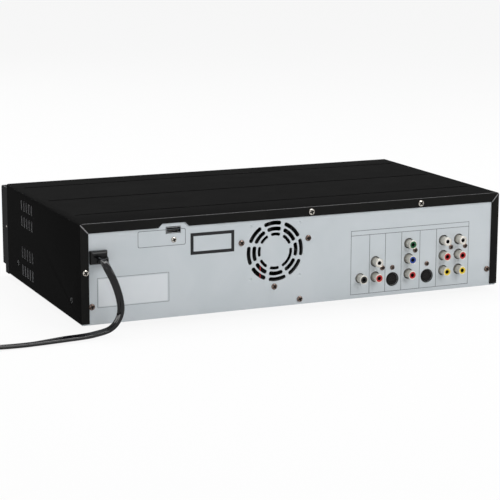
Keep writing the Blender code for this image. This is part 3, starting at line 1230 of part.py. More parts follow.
def make_tray(stuff):
    """The disc tray with its two wells, its slot and its rack, and the tray front."""
    half = TRAY_WIDTH / 2
    top = TRAY_Z + TRAY_THICK
    bm = bmesh.new()
    box(bm, (DRIVE_X - half, DRIVE_FRONT, TRAY_Z), (DRIVE_X + half, DRIVE_FRONT + TRAY_LENGTH, top))
    tray = finish("disc_tray", bm, stuff["black_plastic"], True)
    bm = bmesh.new()
    rows = (
        (top + OVERRUN, DISC_RADIUS),
        (top - DISC_DEPTH, DISC_RADIUS),
        (top - DISC_DEPTH, SMALL_DISC_RADIUS),
        (top - DISC_DEPTH - SMALL_DISC_DEPTH, SMALL_DISC_RADIUS),
    )
    turned(bm, "Z", DRIVE_X, DISC_Y, rows, FINE_SIDES)
    cut(tray, bm)
    bm = bmesh.new()
    low = (DRIVE_X - TRAY_SLOT_HALF, DISC_Y - TRAY_SLOT_AHEAD, TRAY_Z - OVERRUN)
    box(bm, low, (DRIVE_X + TRAY_SLOT_HALF, DRIVE_FRONT + TRAY_LENGTH + OVERRUN, top + OVERRUN))
    cut(tray, bm)
    bm = bmesh.new()
    prism(bm, rack_outline(), "Z", GEAR_Z, TRAY_Z + TRAY_THICK / 4)
    weld(tray, bm)
    bm = bmesh.new()
    z = top - FASCIA_HEIGHT / 2
    face = rounded(DRIVE_X, z, FASCIA_WIDTH - FASCIA_ROUND, FASCIA_HEIGHT - FASCIA_ROUND, FASCIA_ROUND, 2)
    full = rounded(DRIVE_X, z, FASCIA_WIDTH, FASCIA_HEIGHT, FASCIA_ROUND, 2)
    rear = BEZEL_FRONT + FASCIA_THICK
    lug = rounded(DRIVE_X, z + FASCIA_HEIGHT / 4, TRAY_WIDTH, TRAY_THICK / 2, FASCIA_ROUND, 2)
    rows = ((BEZEL_FRONT, face), (BEZEL_FRONT + FASCIA_ROUND, full), (rear, full), (rear, lug))
    stacked(bm, "Y", (*rows, (DRIVE_FRONT - GAP, lug)))
    front = finish("tray_front", bm, stuff["black_plastic"], True)
    put_origin(tray, (DRIVE_X, DRIVE_FRONT, TRAY_Z))
    carry(tray, front)


def pulley_rows(low, radius):
    """The profile of a belt pulley, with its groove."""
    rim = radius + PULLEY_RIM
    first, second = low + (PULLEY_THICK - PULLEY_GROOVE - BELT) / 2, low + (PULLEY_THICK + PULLEY_GROOVE + BELT) / 2
    return ((low, rim), (first, rim), (first, radius), (second, radius), (second, rim), (low + PULLEY_THICK, rim))


def make_loading_drive(stuff):
    """The loading motor with its pulley and belt, and the gear that drives the tray."""
    bm = bmesh.new()
    turned(bm, "Z", GEAR_X, GEAR_Y, (*pulley_rows(PULLEY_Z, PULLEY_RADIUS), (GEAR_Z + GEAR_THICK / 2, MOTOR_RADIUS)))
    gear = finish("tray_gear", bm, stuff["white_plastic"], True)
    bm = bmesh.new()
    prism(bm, gear_outline(GEAR_X, GEAR_Y), "Z", GEAR_Z, GEAR_Z + GEAR_THICK)
    weld(gear, bm)
    put_origin(gear, (GEAR_X, GEAR_Y, GEAR_Z))
    bm = bmesh.new()
    turned(bm, "Z", MOTOR_X, GEAR_Y, pulley_rows(PULLEY_Z, MOTOR_PULLEY_RADIUS))
    pulley = finish("motor_pulley", bm, stuff["white_plastic"], True)
    put_origin(pulley, (MOTOR_X, GEAR_Y, PULLEY_Z))
    bm = bmesh.new()
    seat = PULLEY_Z + PULLEY_THICK + GAP
    motor = MOTOR_RADIUS - CAPACITOR_ROUND
    top = TRAY_Z - MOTOR_UNDER_TRAY
    turned(bm, "Z", MOTOR_X, GEAR_Y, ((seat, motor), (seat + CAPACITOR_ROUND, MOTOR_RADIUS), (top, MOTOR_RADIUS)))
    finish("loading_motor", bm, stuff["zinc"], True)
    make_belt(stuff)


def belt_loop(extra):
    """The belt's way round its two pulleys, this far off their grooves."""
    big, small = PULLEY_RADIUS + extra, MOTOR_PULLEY_RADIUS + extra
    spacing = GEAR_X - MOTOR_X
    touch = pi / 2 + asin((big - small) / spacing)
    points = []
    for i in range(13):
        a = -touch + 2 * touch * i / 12
        points.append((GEAR_X + big * cos(a), GEAR_Y + big * sin(a)))
    for i in range(9):
        a = touch + 2 * (pi - touch) * i / 8
        points.append((MOTOR_X + small * cos(a), GEAR_Y + small * sin(a)))
    return points


def make_belt(stuff):
    """The square belt in the grooves of the two pulleys."""
    low = PULLEY_Z + (PULLEY_THICK - BELT) / 2
    rings = []
    for z, extra in ((low, GAP), (low + BELT, GAP), (low + BELT, GAP + BELT), (low, GAP + BELT)):
        rings.append([Vector((x, y, z)) for x, y in belt_loop(extra)])
    bm = bmesh.new()
    skin(bm, rings, True)
    finish("drive_belt", bm, stuff["red_rubber"])


def make_traverse(stuff):
    """The tilting traverse with the spindle motor, turntable, pickup and lead screw."""
    bm = bmesh.new()
    low = (DRIVE_X - TRAVERSE_HALF, DISC_Y - TRAVERSE_AHEAD, TRAVERSE_Z)
    box(bm, low, (DRIVE_X + TRAVERSE_HALF, PIVOT_Y + TRAVERSE_PIN, TRAVERSE_TOP))
    base = finish("traverse_base", bm, stuff["grey_plastic"])
    bm = bmesh.new()
    low = (DRIVE_X - WINDOW_HALF, DISC_Y + PICKUP_WINDOW_FRONT, TRAVERSE_Z - OVERRUN)
    box(bm, low, (DRIVE_X + WINDOW_HALF, DISC_Y + PICKUP_WINDOW_REAR, TRAVERSE_TOP + OVERRUN))
    reach = SPINDLE_RADIUS + BARREL_CLEARANCE
    prism(bm, circle(DRIVE_X, DISC_Y, reach, FEW_SIDES), "Z", TRAVERSE_Z - OVERRUN, TRAVERSE_TOP + OVERRUN)
    cut(base, bm)
    bm = bmesh.new()
    pin_end = TRAVERSE_HALF + TRAVERSE_PIN_LENGTH
    for side in (-1, 1):
        ends = sorted((DRIVE_X + side * (TRAVERSE_HALF - TRAVERSE_PIN), DRIVE_X + side * pin_end))
        turned(bm, "X", PIVOT_Y, PIVOT_Z, tuple((x, TRAVERSE_PIN) for x in ends), FEW_SIDES)
    screw_x = DRIVE_X + SCREW_X
    start, end = screw_ends()
    for y0, y1 in ((start - GAP - SCREW_BOSS, start - GAP), (end + GAP, end + GAP + SCREW_BOSS)):
        top = TRAVERSE_TOP + SCREW_LIFT + SCREW_RADIUS
        box(bm, (screw_x - SCREW_BOSS, y0, TRAVERSE_TOP - TRAVERSE_THICK / 2), (screw_x + SCREW_BOSS, y1, top))
    weld(base, bm)
    put_origin(base, (DRIVE_X, PIVOT_Y, PIVOT_Z))
    carry(base, *make_spindle(stuff), make_pickup(stuff), make_screw(stuff))


def screw_ends():
    """Where the lead screw starts and ends."""
    return DISC_Y + PICKUP_WINDOW_FRONT, DISC_Y + PICKUP_WINDOW_REAR


def make_screw(stuff):
    """The lead screw beside the pickup."""
    start, end = screw_ends()
    z = TRAVERSE_TOP + SCREW_LIFT
    bm = bmesh.new()
    turned(bm, "Y", DRIVE_X + SCREW_X, z, ((start, SCREW_RADIUS), (end, SCREW_RADIUS)), FEW_SIDES)
    screw = finish("lead_screw", bm, stuff["zinc"], True)
    put_origin(screw, (DRIVE_X + SCREW_X, start, z))
    return screw


def make_pickup(stuff):
    """The optical pickup, which runs along the window of the traverse."""
    y0 = DISC_Y + PICKUP_FRONT
    z0 = TRAVERSE_TOP + GAP
    bm = bmesh.new()
    box(bm, (DRIVE_X - PICKUP_HALF, y0, z0), (DRIVE_X + PICKUP_HALF, y0 + PICKUP_DEPTH, z0 + PICKUP_HEIGHT))
    pickup = finish("optical_pickup", bm, stuff["grey_plastic"], True)
    bm = bmesh.new()
    top = z0 + PICKUP_HEIGHT
    profile = ((top - PICKUP_HEIGHT / 2, LENS_RADIUS), (top + LENS_HEIGHT, LENS_RADIUS))
    turned(bm, "Z", DRIVE_X, y0 + LENS_FROM_FRONT, profile, FEW_SIDES)
    weld(pickup, bm)
    put_origin(pickup, (DRIVE_X, y0, z0))
    return pickup


def make_spindle(stuff):
    """The spindle motor under the traverse and the turntable above it."""
    top = TRAVERSE_Z - GAP
    low = top - SPINDLE_MOTOR_HEIGHT
    bm = bmesh.new()
    turned(bm, "Z", DRIVE_X, DISC_Y, ((low, SPINDLE_MOTOR_RADIUS), (top, SPINDLE_MOTOR_RADIUS)))
    motor = finish("spindle_motor", bm, stuff["zinc"], True)
    table = TRAVERSE_TOP + TURNTABLE_LIFT
    rows = (
        (top + GAP, SPINDLE_RADIUS),
        (table, SPINDLE_RADIUS),
        (table, TURNTABLE_RADIUS),
        (table + TURNTABLE_THICK, TURNTABLE_RADIUS),
        (table + TURNTABLE_THICK, CONE_RADIUS),
        (table + TURNTABLE_THICK + CONE_HEIGHT, CONE_RADIUS * 2 / 3),
    )
    bm = bmesh.new()
    turned(bm, "Z", DRIVE_X, DISC_Y, rows)
    turntable = finish("turntable", bm, stuff["black_plastic"], True)
    put_origin(turntable, (DRIVE_X, DISC_Y, table))
    return motor, turntable


def make_clamp(stuff):
    """The clamp bridge over the tray, and the puck that hangs in it."""
    half = DRIVE_WIDTH / 2
    low = DRIVE_TOP + GAP
    bm = bmesh.new()
    near, far = DISC_Y - BRIDGE_DEPTH / 2, DISC_Y + BRIDGE_DEPTH / 2
    box(bm, (DRIVE_X - half, near, low), (DRIVE_X + half, far, low + BRIDGE_THICK))
    bridge = finish("clamp_bridge", bm, stuff["zinc"])
    bm = bmesh.new()
    prism(bm, circle(DRIVE_X, DISC_Y, BRIDGE_HOLE), "Z", low - OVERRUN, low + BRIDGE_THICK + OVERRUN)
    cut(bridge, bm)
    top = low + BRIDGE_THICK + GAP
    floor = TRAY_Z + TRAY_THICK + RUNNING
    rows = (
        (floor, PUCK_RADIUS),
        (floor + PUCK_FLANGE, PUCK_RADIUS),
        (floor + PUCK_FLANGE, PUCK_NECK),
        (top, PUCK_NECK),
        (top, PUCK_RADIUS),
        (top + PUCK_FLANGE, PUCK_RADIUS),
    )
    bm = bmesh.new()
    turned(bm, "Z", DRIVE_X, DISC_Y, rows)
    puck = finish("clamp_puck", bm, stuff["white_plastic"], True)
    put_origin(puck, (DRIVE_X, DISC_Y, floor))


def deck_leg_places():
    """The middles of the deck's four legs."""
    reach = DECK_OUTER / 2 - DECK_LEG_INSET
    for x in (DECK_X - reach, DECK_X + reach):
        for y in (DECK_FRONT + DECK_LEG_INSET, DECK_FRONT + DECK_DEPTH - DECK_LEG_INSET):
            yield x, y


def make_deck(stuff):
    """The deck's chassis: a plate on legs, side walls that guide the slider, and guide posts for the tape."""
    half = DECK_OUTER / 2
    bm = bmesh.new()
    low = (DECK_X - half, DECK_FRONT, DECK_Z)
    box(bm, low, (DECK_X + half, DECK_FRONT + DECK_DEPTH, DECK_FLOOR))
    deck = finish("deck_chassis", bm, stuff["zinc"])
    bm = bmesh.new()
    prism(bm, circle(CAPSTAN.x, CAPSTAN.y, CAPSTAN_RADIUS + BARREL_CLEARANCE, FEW_SIDES), "Z", 0, DECK_TOP)
    cut(deck, bm)
    bm = bmesh.new()
    for x, y in deck_leg_places():
        prism(bm, rectangle(x, y, DECK_LEG, DECK_LEG), "Z", BASE_FLOOR + GAP, DECK_Z + DECK_PLATE / 2)
    for side in (-1, 1):
        x0, x1 = sorted((DECK_X + side * half, DECK_X + side * (half - DECK_WALL)))
        box(bm, (x0, DECK_FRONT, DECK_Z + DECK_PLATE / 2), (x1, DECK_FRONT + DECK_WALL_DEPTH, DECK_TOP))
        u = DECK_X + side * (DRUM_RADIUS + GUIDE_POST_FROM_DRUM)
        top = DECK_FLOOR + GUIDE_POST_HEIGHT
        profile = ((DECK_Z + DECK_PLATE / 2, GUIDE_POST_RADIUS), (top, GUIDE_POST_RADIUS))
        turned(bm, "Z", u, DRUM_Y, profile, FEW_SIDES)
    weld(deck, bm)


def make_carrier(stuff):
    """The slider between the deck's walls and the cassette carrier inside it."""
    rear = CARRIER_FRONT + CARRIER_DEPTH
    half, wall = SLIDER_OUTER / 2, SLIDER_WALL
    low, high = CARRIER_TOP + RUNNING, CARRIER_TOP + RUNNING + SLIDER_WALL
    outline = [(-half, SLIDER_Z), (wall - half, SLIDER_Z), (wall - half, low), (half - wall, low)]
    outline += [(half - wall, SLIDER_Z), (half, SLIDER_Z), (half, high), (-half, high)]
    bm = bmesh.new()
    prism(bm, [(DECK_X + x, z) for x, z in outline], "Y", CARRIER_FRONT, rear)
    slider = finish("carrier_slider", bm, stuff["zinc"])
    put_origin(slider, (DECK_X, CARRIER_FRONT, SLIDER_Z))
    half, wall = CARRIER_OUTER / 2, CARRIER_WALL
    lip = half - wall - CARRIER_LIP
    floor, ceiling = CARRIER_Z + wall, CARRIER_TOP - wall
    outline = [(-half, CARRIER_Z), (-lip, CARRIER_Z), (-lip, floor), (wall - half, floor), (wall - half, ceiling)]
    outline += [(half - wall, ceiling), (half - wall, floor), (lip, floor), (lip, CARRIER_Z), (half, CARRIER_Z)]
    outline += [(half, CARRIER_TOP), (-half, CARRIER_TOP)]
    bm = bmesh.new()
    prism(bm, [(DECK_X + x, z) for x, z in outline], "Y", CARRIER_FRONT, rear)
    carrier = finish("cassette_carrier", bm, stuff["zinc"])
    put_origin(carrier, (DECK_X, CARRIER_FRONT, CARRIER_Z))
    carry(slider, carrier)


def make_reels(stuff):
    """The two reel tables, whose lobes hold the cassette's hubs."""
    low = DECK_FLOOR + GAP
    for name, side in (("supply_reel", -1), ("takeup_reel", 1)):
        x = DECK_X + side * REEL_SPACING / 2
        top = low + REEL_HEIGHT
        plate = low + REEL_PLATE
        outlines = [(low, circle(x, REEL_Y, REEL_RADIUS)), (plate, circle(x, REEL_Y, REEL_RADIUS))]
        sides = SIDES // REEL_LOBES
        for z, radius in ((plate, REEL_HUB), (top, REEL_HUB), (top + REEL_CONE, REEL_HUB / 2)):
            points = []
            for i in range(SIDES):
                reach = radius - (REEL_LOBE if i % sides else 0)
                a = 2 * pi * i / SIDES
                points.append((x + reach * cos(a), REEL_Y + reach * sin(a)))
            outlines.append((z, points))
        bm = bmesh.new()
        stacked(bm, "Z", outlines)
        reel = finish(name, bm, stuff["white_plastic"])
        put_origin(reel, (x, REEL_Y, low))


def make_drum(stuff):
    """The fixed lower drum and the turning upper drum."""
    low = DECK_FLOOR + GAP
    high = low + LOWER_DRUM_HEIGHT
    edge = DRUM_RADIUS - DRUM_EDGE
    bm = bmesh.new()
    rows = ((low, edge), (low + DRUM_EDGE, DRUM_RADIUS), (high, DRUM_RADIUS))
    turned(bm, "Z", DECK_X, DRUM_Y, rows, FINE_SIDES)
    finish("lower_drum", bm, stuff["aluminium"], True)
    start = high + GAP
    top = start + UPPER_DRUM_HEIGHT
    rows = (
        (start, DRUM_RADIUS),
        (top - DRUM_EDGE, DRUM_RADIUS),
        (top, edge),
        (top, DRUM_RECESS),
        (top - DRUM_RECESS_DEPTH, DRUM_RECESS),
    )
    bm = bmesh.new()
    turned(bm, "Z", DECK_X, DRUM_Y, rows, FINE_SIDES)
    drum = finish("upper_drum", bm, stuff["aluminium"], True)
    put_origin(drum, (DECK_X, DRUM_Y, start))


def make_capstan(stuff):
    """The capstan shaft with its flywheel under the deck."""
    high = DECK_Z - FLYWHEEL_GAP
    low = high - FLYWHEEL_THICK
    rows = ((low, FLYWHEEL_RADIUS), (high, FLYWHEEL_RADIUS), (high, CAPSTAN_RADIUS), (CAPSTAN_TOP, CAPSTAN_RADIUS))
    bm = bmesh.new()
    turned(bm, "Z", CAPSTAN.x, CAPSTAN.y, rows)
    capstan = finish("capstan", bm, stuff["brass"], True)
    put_origin(capstan, (CAPSTAN.x, CAPSTAN.y, low))


def pinch_places():
    """The pinch arm's pivot and the roller's middle at rest, away from the capstan."""
    reach = CAPSTAN_RADIUS + ROLLER_RADIUS + GAP
    pressed = CAPSTAN + Vector((cos(PINCH_CONTACT_ANGLE), sin(PINCH_CONTACT_ANGLE), 0)) * reach
    away = Vector((cos(PINCH_PRESSED_ANGLE), sin(PINCH_PRESSED_ANGLE), 0)) * PINCH_ARM_LENGTH
    pivot = pressed - away
    turn = Matrix.Rotation(-radians(PINCH_SWING), 3, "Z")
    return pivot, pivot + turn @ away


def make_pinch(stuff):
    """The pinch arm and its rubber roller, swung away from the capstan."""
    pivot, roller = pinch_places()
    low = DECK_FLOOR + PINCH_LIFT
    high = low + PINCH_ARM_THICK
    way = (roller - pivot).normalized()
    side = Vector((-way.y, way.x, 0)) * PINCH_ARM_HALF
    outline = []
    for middle, first in ((pivot, pi / 2), (roller, -pi / 2)):
        for i in range(7):
            a = first + i * pi / 6
            point = middle + way * PINCH_ARM_HALF * cos(a) + side * sin(a)
            outline.append((point.x, point.y))
    bm = bmesh.new()
    prism(bm, outline, "Z", low, high)
    arm = finish("pinch_arm", bm, stuff["zinc"], True)
    bm = bmesh.new()
    start = low + PINCH_ARM_THICK / 2
    seat = high + GAP
    turned(bm, "Z", roller.x, roller.y, ((start, ROLLER_PIN), (seat + ROLLER_HEIGHT, ROLLER_PIN)), FEW_SIDES)
    turned(bm, "Z", pivot.x, pivot.y, ((start, PINCH_ARM_HALF - GAP), (seat + PINCH_ARM_THICK, ROLLER_PIN)), FEW_SIDES)
    weld(arm, bm)
    put_origin(arm, (pivot.x, pivot.y, low))
    bm = bmesh.new()
    end = seat + ROLLER_HEIGHT
    rows = ((seat, ROLLER_BORE), (seat, ROLLER_RADIUS), (end, ROLLER_RADIUS), (end, ROLLER_BORE))
    turned(bm, "Z", roller.x, roller.y, rows, SIDES, True)
    wheel = finish("pinch_roller", bm, stuff["rubber"], True)
    put_origin(wheel, (roller.x, roller.y, seat))
    carry(arm, wheel)


def make_door(stuff):
    """The cassette door, hung at its top edge on two pins."""
    y, z = DOOR_PIVOT.y, DOOR_PIVOT.z
    face = BEZEL_FRONT + DOOR_EASE
    top = DOOR_TOP
    bottom = DOOR_TOP - DOOR_HEIGHT
    back = y + DOOR_PIN + DOOR_EASE
    outline = [(face, bottom), (face, top - DOOR_EASE), (face + DOOR_EASE, top), (y, top), (back, z)]
    outline += [(back, z - DOOR_PIVOT_DROP), (face + DOOR_THICK, z - 2 * DOOR_PIVOT_DROP), (face + DOOR_THICK, bottom)]
    half = DOOR_WIDTH / 2
    bm = bmesh.new()
    prism(bm, outline, "X", DECK_X - half, DECK_X + half)
    door = finish("cassette_door", bm, stuff["black_plastic"], True)
    bm = bmesh.new()
    for side in (-1, 1):
        ends = sorted((DECK_X + side * (half - DOOR_PIN), DECK_X + side * (half + DOOR_PIN_LENGTH)))
        turned(bm, "X", y, z, tuple((x, DOOR_PIN) for x in ends), FEW_SIDES)
    weld(door, bm)
    put_origin(door, DOOR_PIVOT)


def main():
    """Builds the player."""
    clear_scene()
    stuff = make_materials()
    make_cover(stuff)
    make_rear_panel(stuff)
    make_front_panel(stuff)
    make_window(stuff)
    make_buttons(stuff)
    make_display_board(stuff)
    make_base(stuff)
    make_feet(stuff)
    make_main_board(stuff)
    make_power_parts(stuff)
    make_jacks(stuff)
    make_hdmi(stuff)
    make_fan(stuff)
    make_cord(stuff)
    make_drive_frame(stuff)
    make_tray(stuff)
    make_loading_drive(stuff)
    make_traverse(stuff)
    make_clamp(stuff)
    make_deck(stuff)
    make_carrier(stuff)
    make_reels(stuff)
    make_drum(stuff)
    make_capstan(stuff)
    make_pinch(stuff)
    make_door(stuff)


main()
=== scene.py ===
"""Looks of a disc and tape combination player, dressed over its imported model.

Lengths in the classes are millimetres. The bench turns them into metres.
"""

import logging
from dataclasses import dataclass
from enum import Enum
from math import cos, pi, radians, sin
from typing import Callable, Iterable, Sequence

import bmesh
import bpy
from mathutils import Matrix, Vector


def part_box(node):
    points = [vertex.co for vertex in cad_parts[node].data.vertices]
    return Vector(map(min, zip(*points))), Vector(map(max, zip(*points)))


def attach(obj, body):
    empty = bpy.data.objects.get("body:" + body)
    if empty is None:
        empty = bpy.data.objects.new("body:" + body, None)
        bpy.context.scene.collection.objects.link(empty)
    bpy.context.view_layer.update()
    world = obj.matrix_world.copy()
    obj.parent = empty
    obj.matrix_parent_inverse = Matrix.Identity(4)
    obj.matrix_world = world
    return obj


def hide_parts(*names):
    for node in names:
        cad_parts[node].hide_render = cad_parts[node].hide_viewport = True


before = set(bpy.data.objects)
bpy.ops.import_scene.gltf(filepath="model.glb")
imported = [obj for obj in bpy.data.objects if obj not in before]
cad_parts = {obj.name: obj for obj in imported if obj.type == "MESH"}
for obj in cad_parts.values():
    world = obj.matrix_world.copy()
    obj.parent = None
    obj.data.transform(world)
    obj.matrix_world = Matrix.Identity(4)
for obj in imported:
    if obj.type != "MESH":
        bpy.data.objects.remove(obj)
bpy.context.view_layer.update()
MM = 0.001
LOG = logging.getLogger("player")
PANEL_FACE = 123.6  # outer face of the rear panel along Y
LIP_FACE = 124.9  # outer face of the cover's rear lips along Y
SUNK = 0.02  # how far a printed or stuck piece reaches into the panel
SIDE_SCREWS = ((96.9, 24.5), (-76.1, 25.5))  # Y and Z of the cover's side screws

Object = bpy.types.Object
Point = Sequence[float]


class Axis(Enum):
    """The three directions of the case."""

    X = 0
    Y = 1
    Z = 2


TURNS = {Axis.X: (0.0, pi / 2, 0.0), Axis.Y: (-pi / 2, 0.0, 0.0), Axis.Z: (0.0, 0.0, 0.0)}


# Modelling bench


class Bench:
    """The modelling moves that all pieces are made with."""

    @staticmethod
    def clear() -> None:
        """Leaves nothing selected."""
        bpy.ops.object.select_all(action="DESELECT")

    @staticmethod
    def hold(piece: Object) -> None:
        """Selects one piece alone.

        Args:
            piece: The piece.
        """
        Bench.clear()
        piece.select_set(True)
        bpy.context.view_layer.objects.active = piece

    @staticmethod
    def settle(name: str) -> Object:
        """Names the new primitive and puts its place into its mesh.

        Args:
            name: The piece's name.

        Returns:
            The piece, with its object at the origin.
        """
        piece = bpy.context.object
        piece.name = name
        piece.data.name = name
        bpy.ops.object.transform_apply(location=True, rotation=True, scale=True)
        return piece

    @staticmethod
    def block(name: str, low: Point, high: Point, turn: Point = (0.0, 0.0, 0.0)) -> Object:
        """A block between two corners, turned about its own middle.

        Args:
            name: The piece's name.
            low: Lowest corner in mm.
            high: Highest corner in mm.
            turn: Turn about X, Y and Z in radians.

        Returns:
            The block.
        """
        Bench.clear()
        size = [(b - a) * MM for a, b in zip(low, high)]
        middle = [(a + b) / 2 * MM for a, b in zip(low, high)]
        bpy.ops.mesh.primitive_cube_add(size=1, location=middle, rotation=turn, scale=size)
        return Bench.settle(name)

    @staticmethod
    def turned(
        name: str, centre: Point, profile: Sequence[tuple[float, float]], sides: int = 32, axis: Axis = Axis.Y
    ) -> Object:
        """A round piece: a disc drawn out along its axis and drawn in or out at each step.

        Args:
            name: The piece's name.
            centre: A point of the axis in mm.
            profile: Places along the axis with the radius there, in mm.
            sides: Sides of the round.
            axis: Direction of the axis.

        Returns:
            The round piece.
        """
        Bench.clear()
        along, radius = profile[0]
        place = Vector(centre)
        place[axis.value] = along
        bpy.ops.mesh.primitive_circle_add(
            vertices=sides, radius=radius * MM, fill_type="NGON", location=place * MM, rotation=TURNS[axis]
        )
        piece = Bench.settle(name)
        bpy.ops.object.mode_set(mode="EDIT")
        bpy.ops.mesh.select_all(action="SELECT")
        for far, wide in profile[1:]:
            step = Vector((0, 0, 0))
            step[axis.value] = (far - along) * MM
            bpy.ops.mesh.extrude_region_move(TRANSFORM_OT_translate={"value": step})
            place[axis.value] = far
            if wide != radius:
                share = [wide / radius] * 3
                share[axis.value] = 1.0
                bpy.ops.transform.resize(value=share, center_override=place * MM)
            along, radius = far, wide
        bpy.ops.mesh.select_all(action="SELECT")
        bpy.ops.mesh.normals_make_consistent(inside=False)
        bpy.ops.object.mode_set(mode="OBJECT")
        return piece

    @staticmethod
    def drawn(name: str, low: Point, high: Point, steps: Sequence[Point], axis: Axis = Axis.Y) -> Object:
        """A block whose far face is drawn on, step by step, wider or narrower and to one side.

        Args:
            name: The piece's name.
            low: Lowest corner of the first block in mm.
            high: Highest corner of the first block in mm.
            steps: Each (how far, share of the first side, share of the second, shift on them both).
            axis: The way it is drawn, from low to high.

        Returns:
            The piece.
        """
        piece = Bench.block(name, low, high)
        across = [i for i in range(3) if i != axis.value]
        middle = Vector([(a + b) / 2 for a, b in zip(low, high)])
        middle[axis.value] = high[axis.value]
        Bench.choose(piece, lambda place, way: way[axis.value] > 0.9)
        for far, first, second, shift_first, shift_second in steps:
            step = Vector((0, 0, 0))
            step[axis.value] = far
            step[across[0]] = shift_first
            step[across[1]] = shift_second
            bpy.ops.mesh.extrude_region_move(TRANSFORM_OT_translate={"value": step * MM})
            middle += step
            share = [1.0, 1.0, 1.0]
            share[across[0]] = first
            share[across[1]] = second
            bpy.ops.transform.resize(value=share, center_override=middle * MM)
        bpy.ops.object.mode_set(mode="OBJECT")
        return piece

    @staticmethod
    def choose(piece: Object, test: Callable[[Vector, Vector], bool]) -> None:
        """Opens the piece for editing with the faces selected that pass a test.

        Args:
            piece: The piece, which stays in edit mode.
            test: Takes a face's middle in mm and its normal.
        """
        Bench.hold(piece)
        bpy.ops.object.mode_set(mode="EDIT")
        bpy.ops.mesh.select_mode(type="FACE")
        bpy.ops.mesh.select_all(action="DESELECT")
        mesh = bmesh.from_edit_mesh(piece.data)
        for face in mesh.faces:
            face.select_set(bool(test(face.calc_center_median() / MM, face.normal)))
        bmesh.update_edit_mesh(piece.data)

    @staticmethod
    def round_edges(
        piece: Object, test: Callable[[Vector, Vector], bool], radius: float, steps: int = 4
    ) -> None:
        """Rounds the edges that pass a test.

        Args:
            piece: The piece.
            test: Takes an edge's two ends in mm.
            radius: Radius of the rounding in mm.
            steps: Facets of the rounding.
        """
        Bench.hold(piece)
        bpy.ops.object.mode_set(mode="EDIT")
        bpy.ops.mesh.select_mode(type="EDGE")
        bpy.ops.mesh.select_all(action="DESELECT")
        mesh = bmesh.from_edit_mesh(piece.data)
        for edge in mesh.edges:
            edge.select_set(bool(test(edge.verts[0].co / MM, edge.verts[1].co / MM)))
        bmesh.update_edit_mesh(piece.data)
        bpy.ops.mesh.bevel(offset=radius * MM, segments=steps, affect="EDGES")
        bpy.ops.mesh.select_mode(type="FACE")
        bpy.ops.object.mode_set(mode="OBJECT")

    @staticmethod
    def paint(piece: Object, slot: int, test: Callable[[Vector, Vector], bool]) -> None:
        """Gives the faces that pass a test another material slot.

        Args:
            piece: The piece.
            slot: The slot.
            test: Takes a face's middle in mm and its normal.
        """
        for face in piece.data.polygons:
            if test(face.center / MM, face.normal):
                face.material_index = slot

    @staticmethod
    def soften(
        piece: Object, width: float = 0.25, steps: int = 2, angle: float = 35.0, edge: int = -1
    ) -> Object:
        """Breaks the sharp edges of a piece, so that they catch the light.

        Args:
            piece: The piece.
            width: Width of the broken edge in mm.
            steps: Facets of the edge.
            angle: Least angle of an edge that is broken, in degrees.
            edge: Material slot of the broken edges, or -1 for that of their faces. A lighter finish in that
                slot is a painted highlight.

        Returns:
            The same piece.
        """
        Bench.hold(piece)
        bpy.ops.object.shade_smooth_by_angle(angle=radians(angle))
        bevel = piece.modifiers.new("edges", "BEVEL")
        bevel.width = width * MM
        bevel.segments = steps
        bevel.limit_method = "ANGLE"
        bevel.angle_limit = radians(angle)
        bevel.use_clamp_overlap = True
        bevel.harden_normals = True
        bevel.material = edge
        bpy.ops.object.modifier_apply(modifier=bevel.name)
        return piece

    @staticmethod
    def smooth(piece: Object, angle: float = 35.0) -> Object:
        """Shades the piece smooth, apart from its sharp edges.

        Args:
            piece: The piece.
            angle: Least angle of an edge that stays sharp, in degrees.

        Returns:
            The same piece.
        """
        Bench.hold(piece)
        bpy.ops.object.shade_smooth_by_angle(angle=radians(angle))
        return piece

    @staticmethod
    def cut(piece: Object, cutters: Iterable[Object]) -> Object:
        """Cuts pieces out of a piece.

        Args:
            piece: The piece that stays.
            cutters: The pieces that are used up.

        Returns:
            The piece.
        """
        tool = Bench.joined("cutter", cutters)
        Bench.hold(piece)
        boolean = piece.modifiers.new("cut", "BOOLEAN")
        boolean.operation = "DIFFERENCE"
        boolean.solver = "EXACT"
        boolean.use_self = True
        boolean.object = tool
        bpy.ops.object.modifier_apply(modifier=boolean.name)
        bpy.data.objects.remove(tool)
        return piece

    @staticmethod
    def joined(name: str, pieces: Iterable[Object]) -> Object:
        """Joins pieces into one object.

        Args:
            name: The new name.
            pieces: The pieces that are used up.

        Returns:
            The joined piece.
        """
        parts = list(pieces)
        Bench.clear()
        for part in parts:
            part.select_set(True)
        bpy.context.view_layer.objects.active = parts[0]
        if len(parts) > 1:
            bpy.ops.object.join()
        made = bpy.context.view_layer.objects.active
        made.name = name
        made.data.name = name
        return made

    @staticmethod
    def copied(
        piece: Object, name: str, shift: Point = (0.0, 0.0, 0.0), turn: Matrix | None = None
    ) -> Object:
        """A copy with its own mesh, moved in its mesh.

        Args:
            piece: The piece that is copied.
            name: The copy's name.
            shift: How far it is moved, in mm.
            turn: A turn about the origin that comes before the shift.

        Returns:
            The copy.
        """
        made = piece.copy()
        made.data = piece.data.copy()
        made.name = name
        made.data.name = name
        bpy.context.scene.collection.objects.link(made)
        if turn is not None:
            made.data.transform(turn)
        made.data.transform(Matrix.Translation(Vector(shift) * MM))
        return made

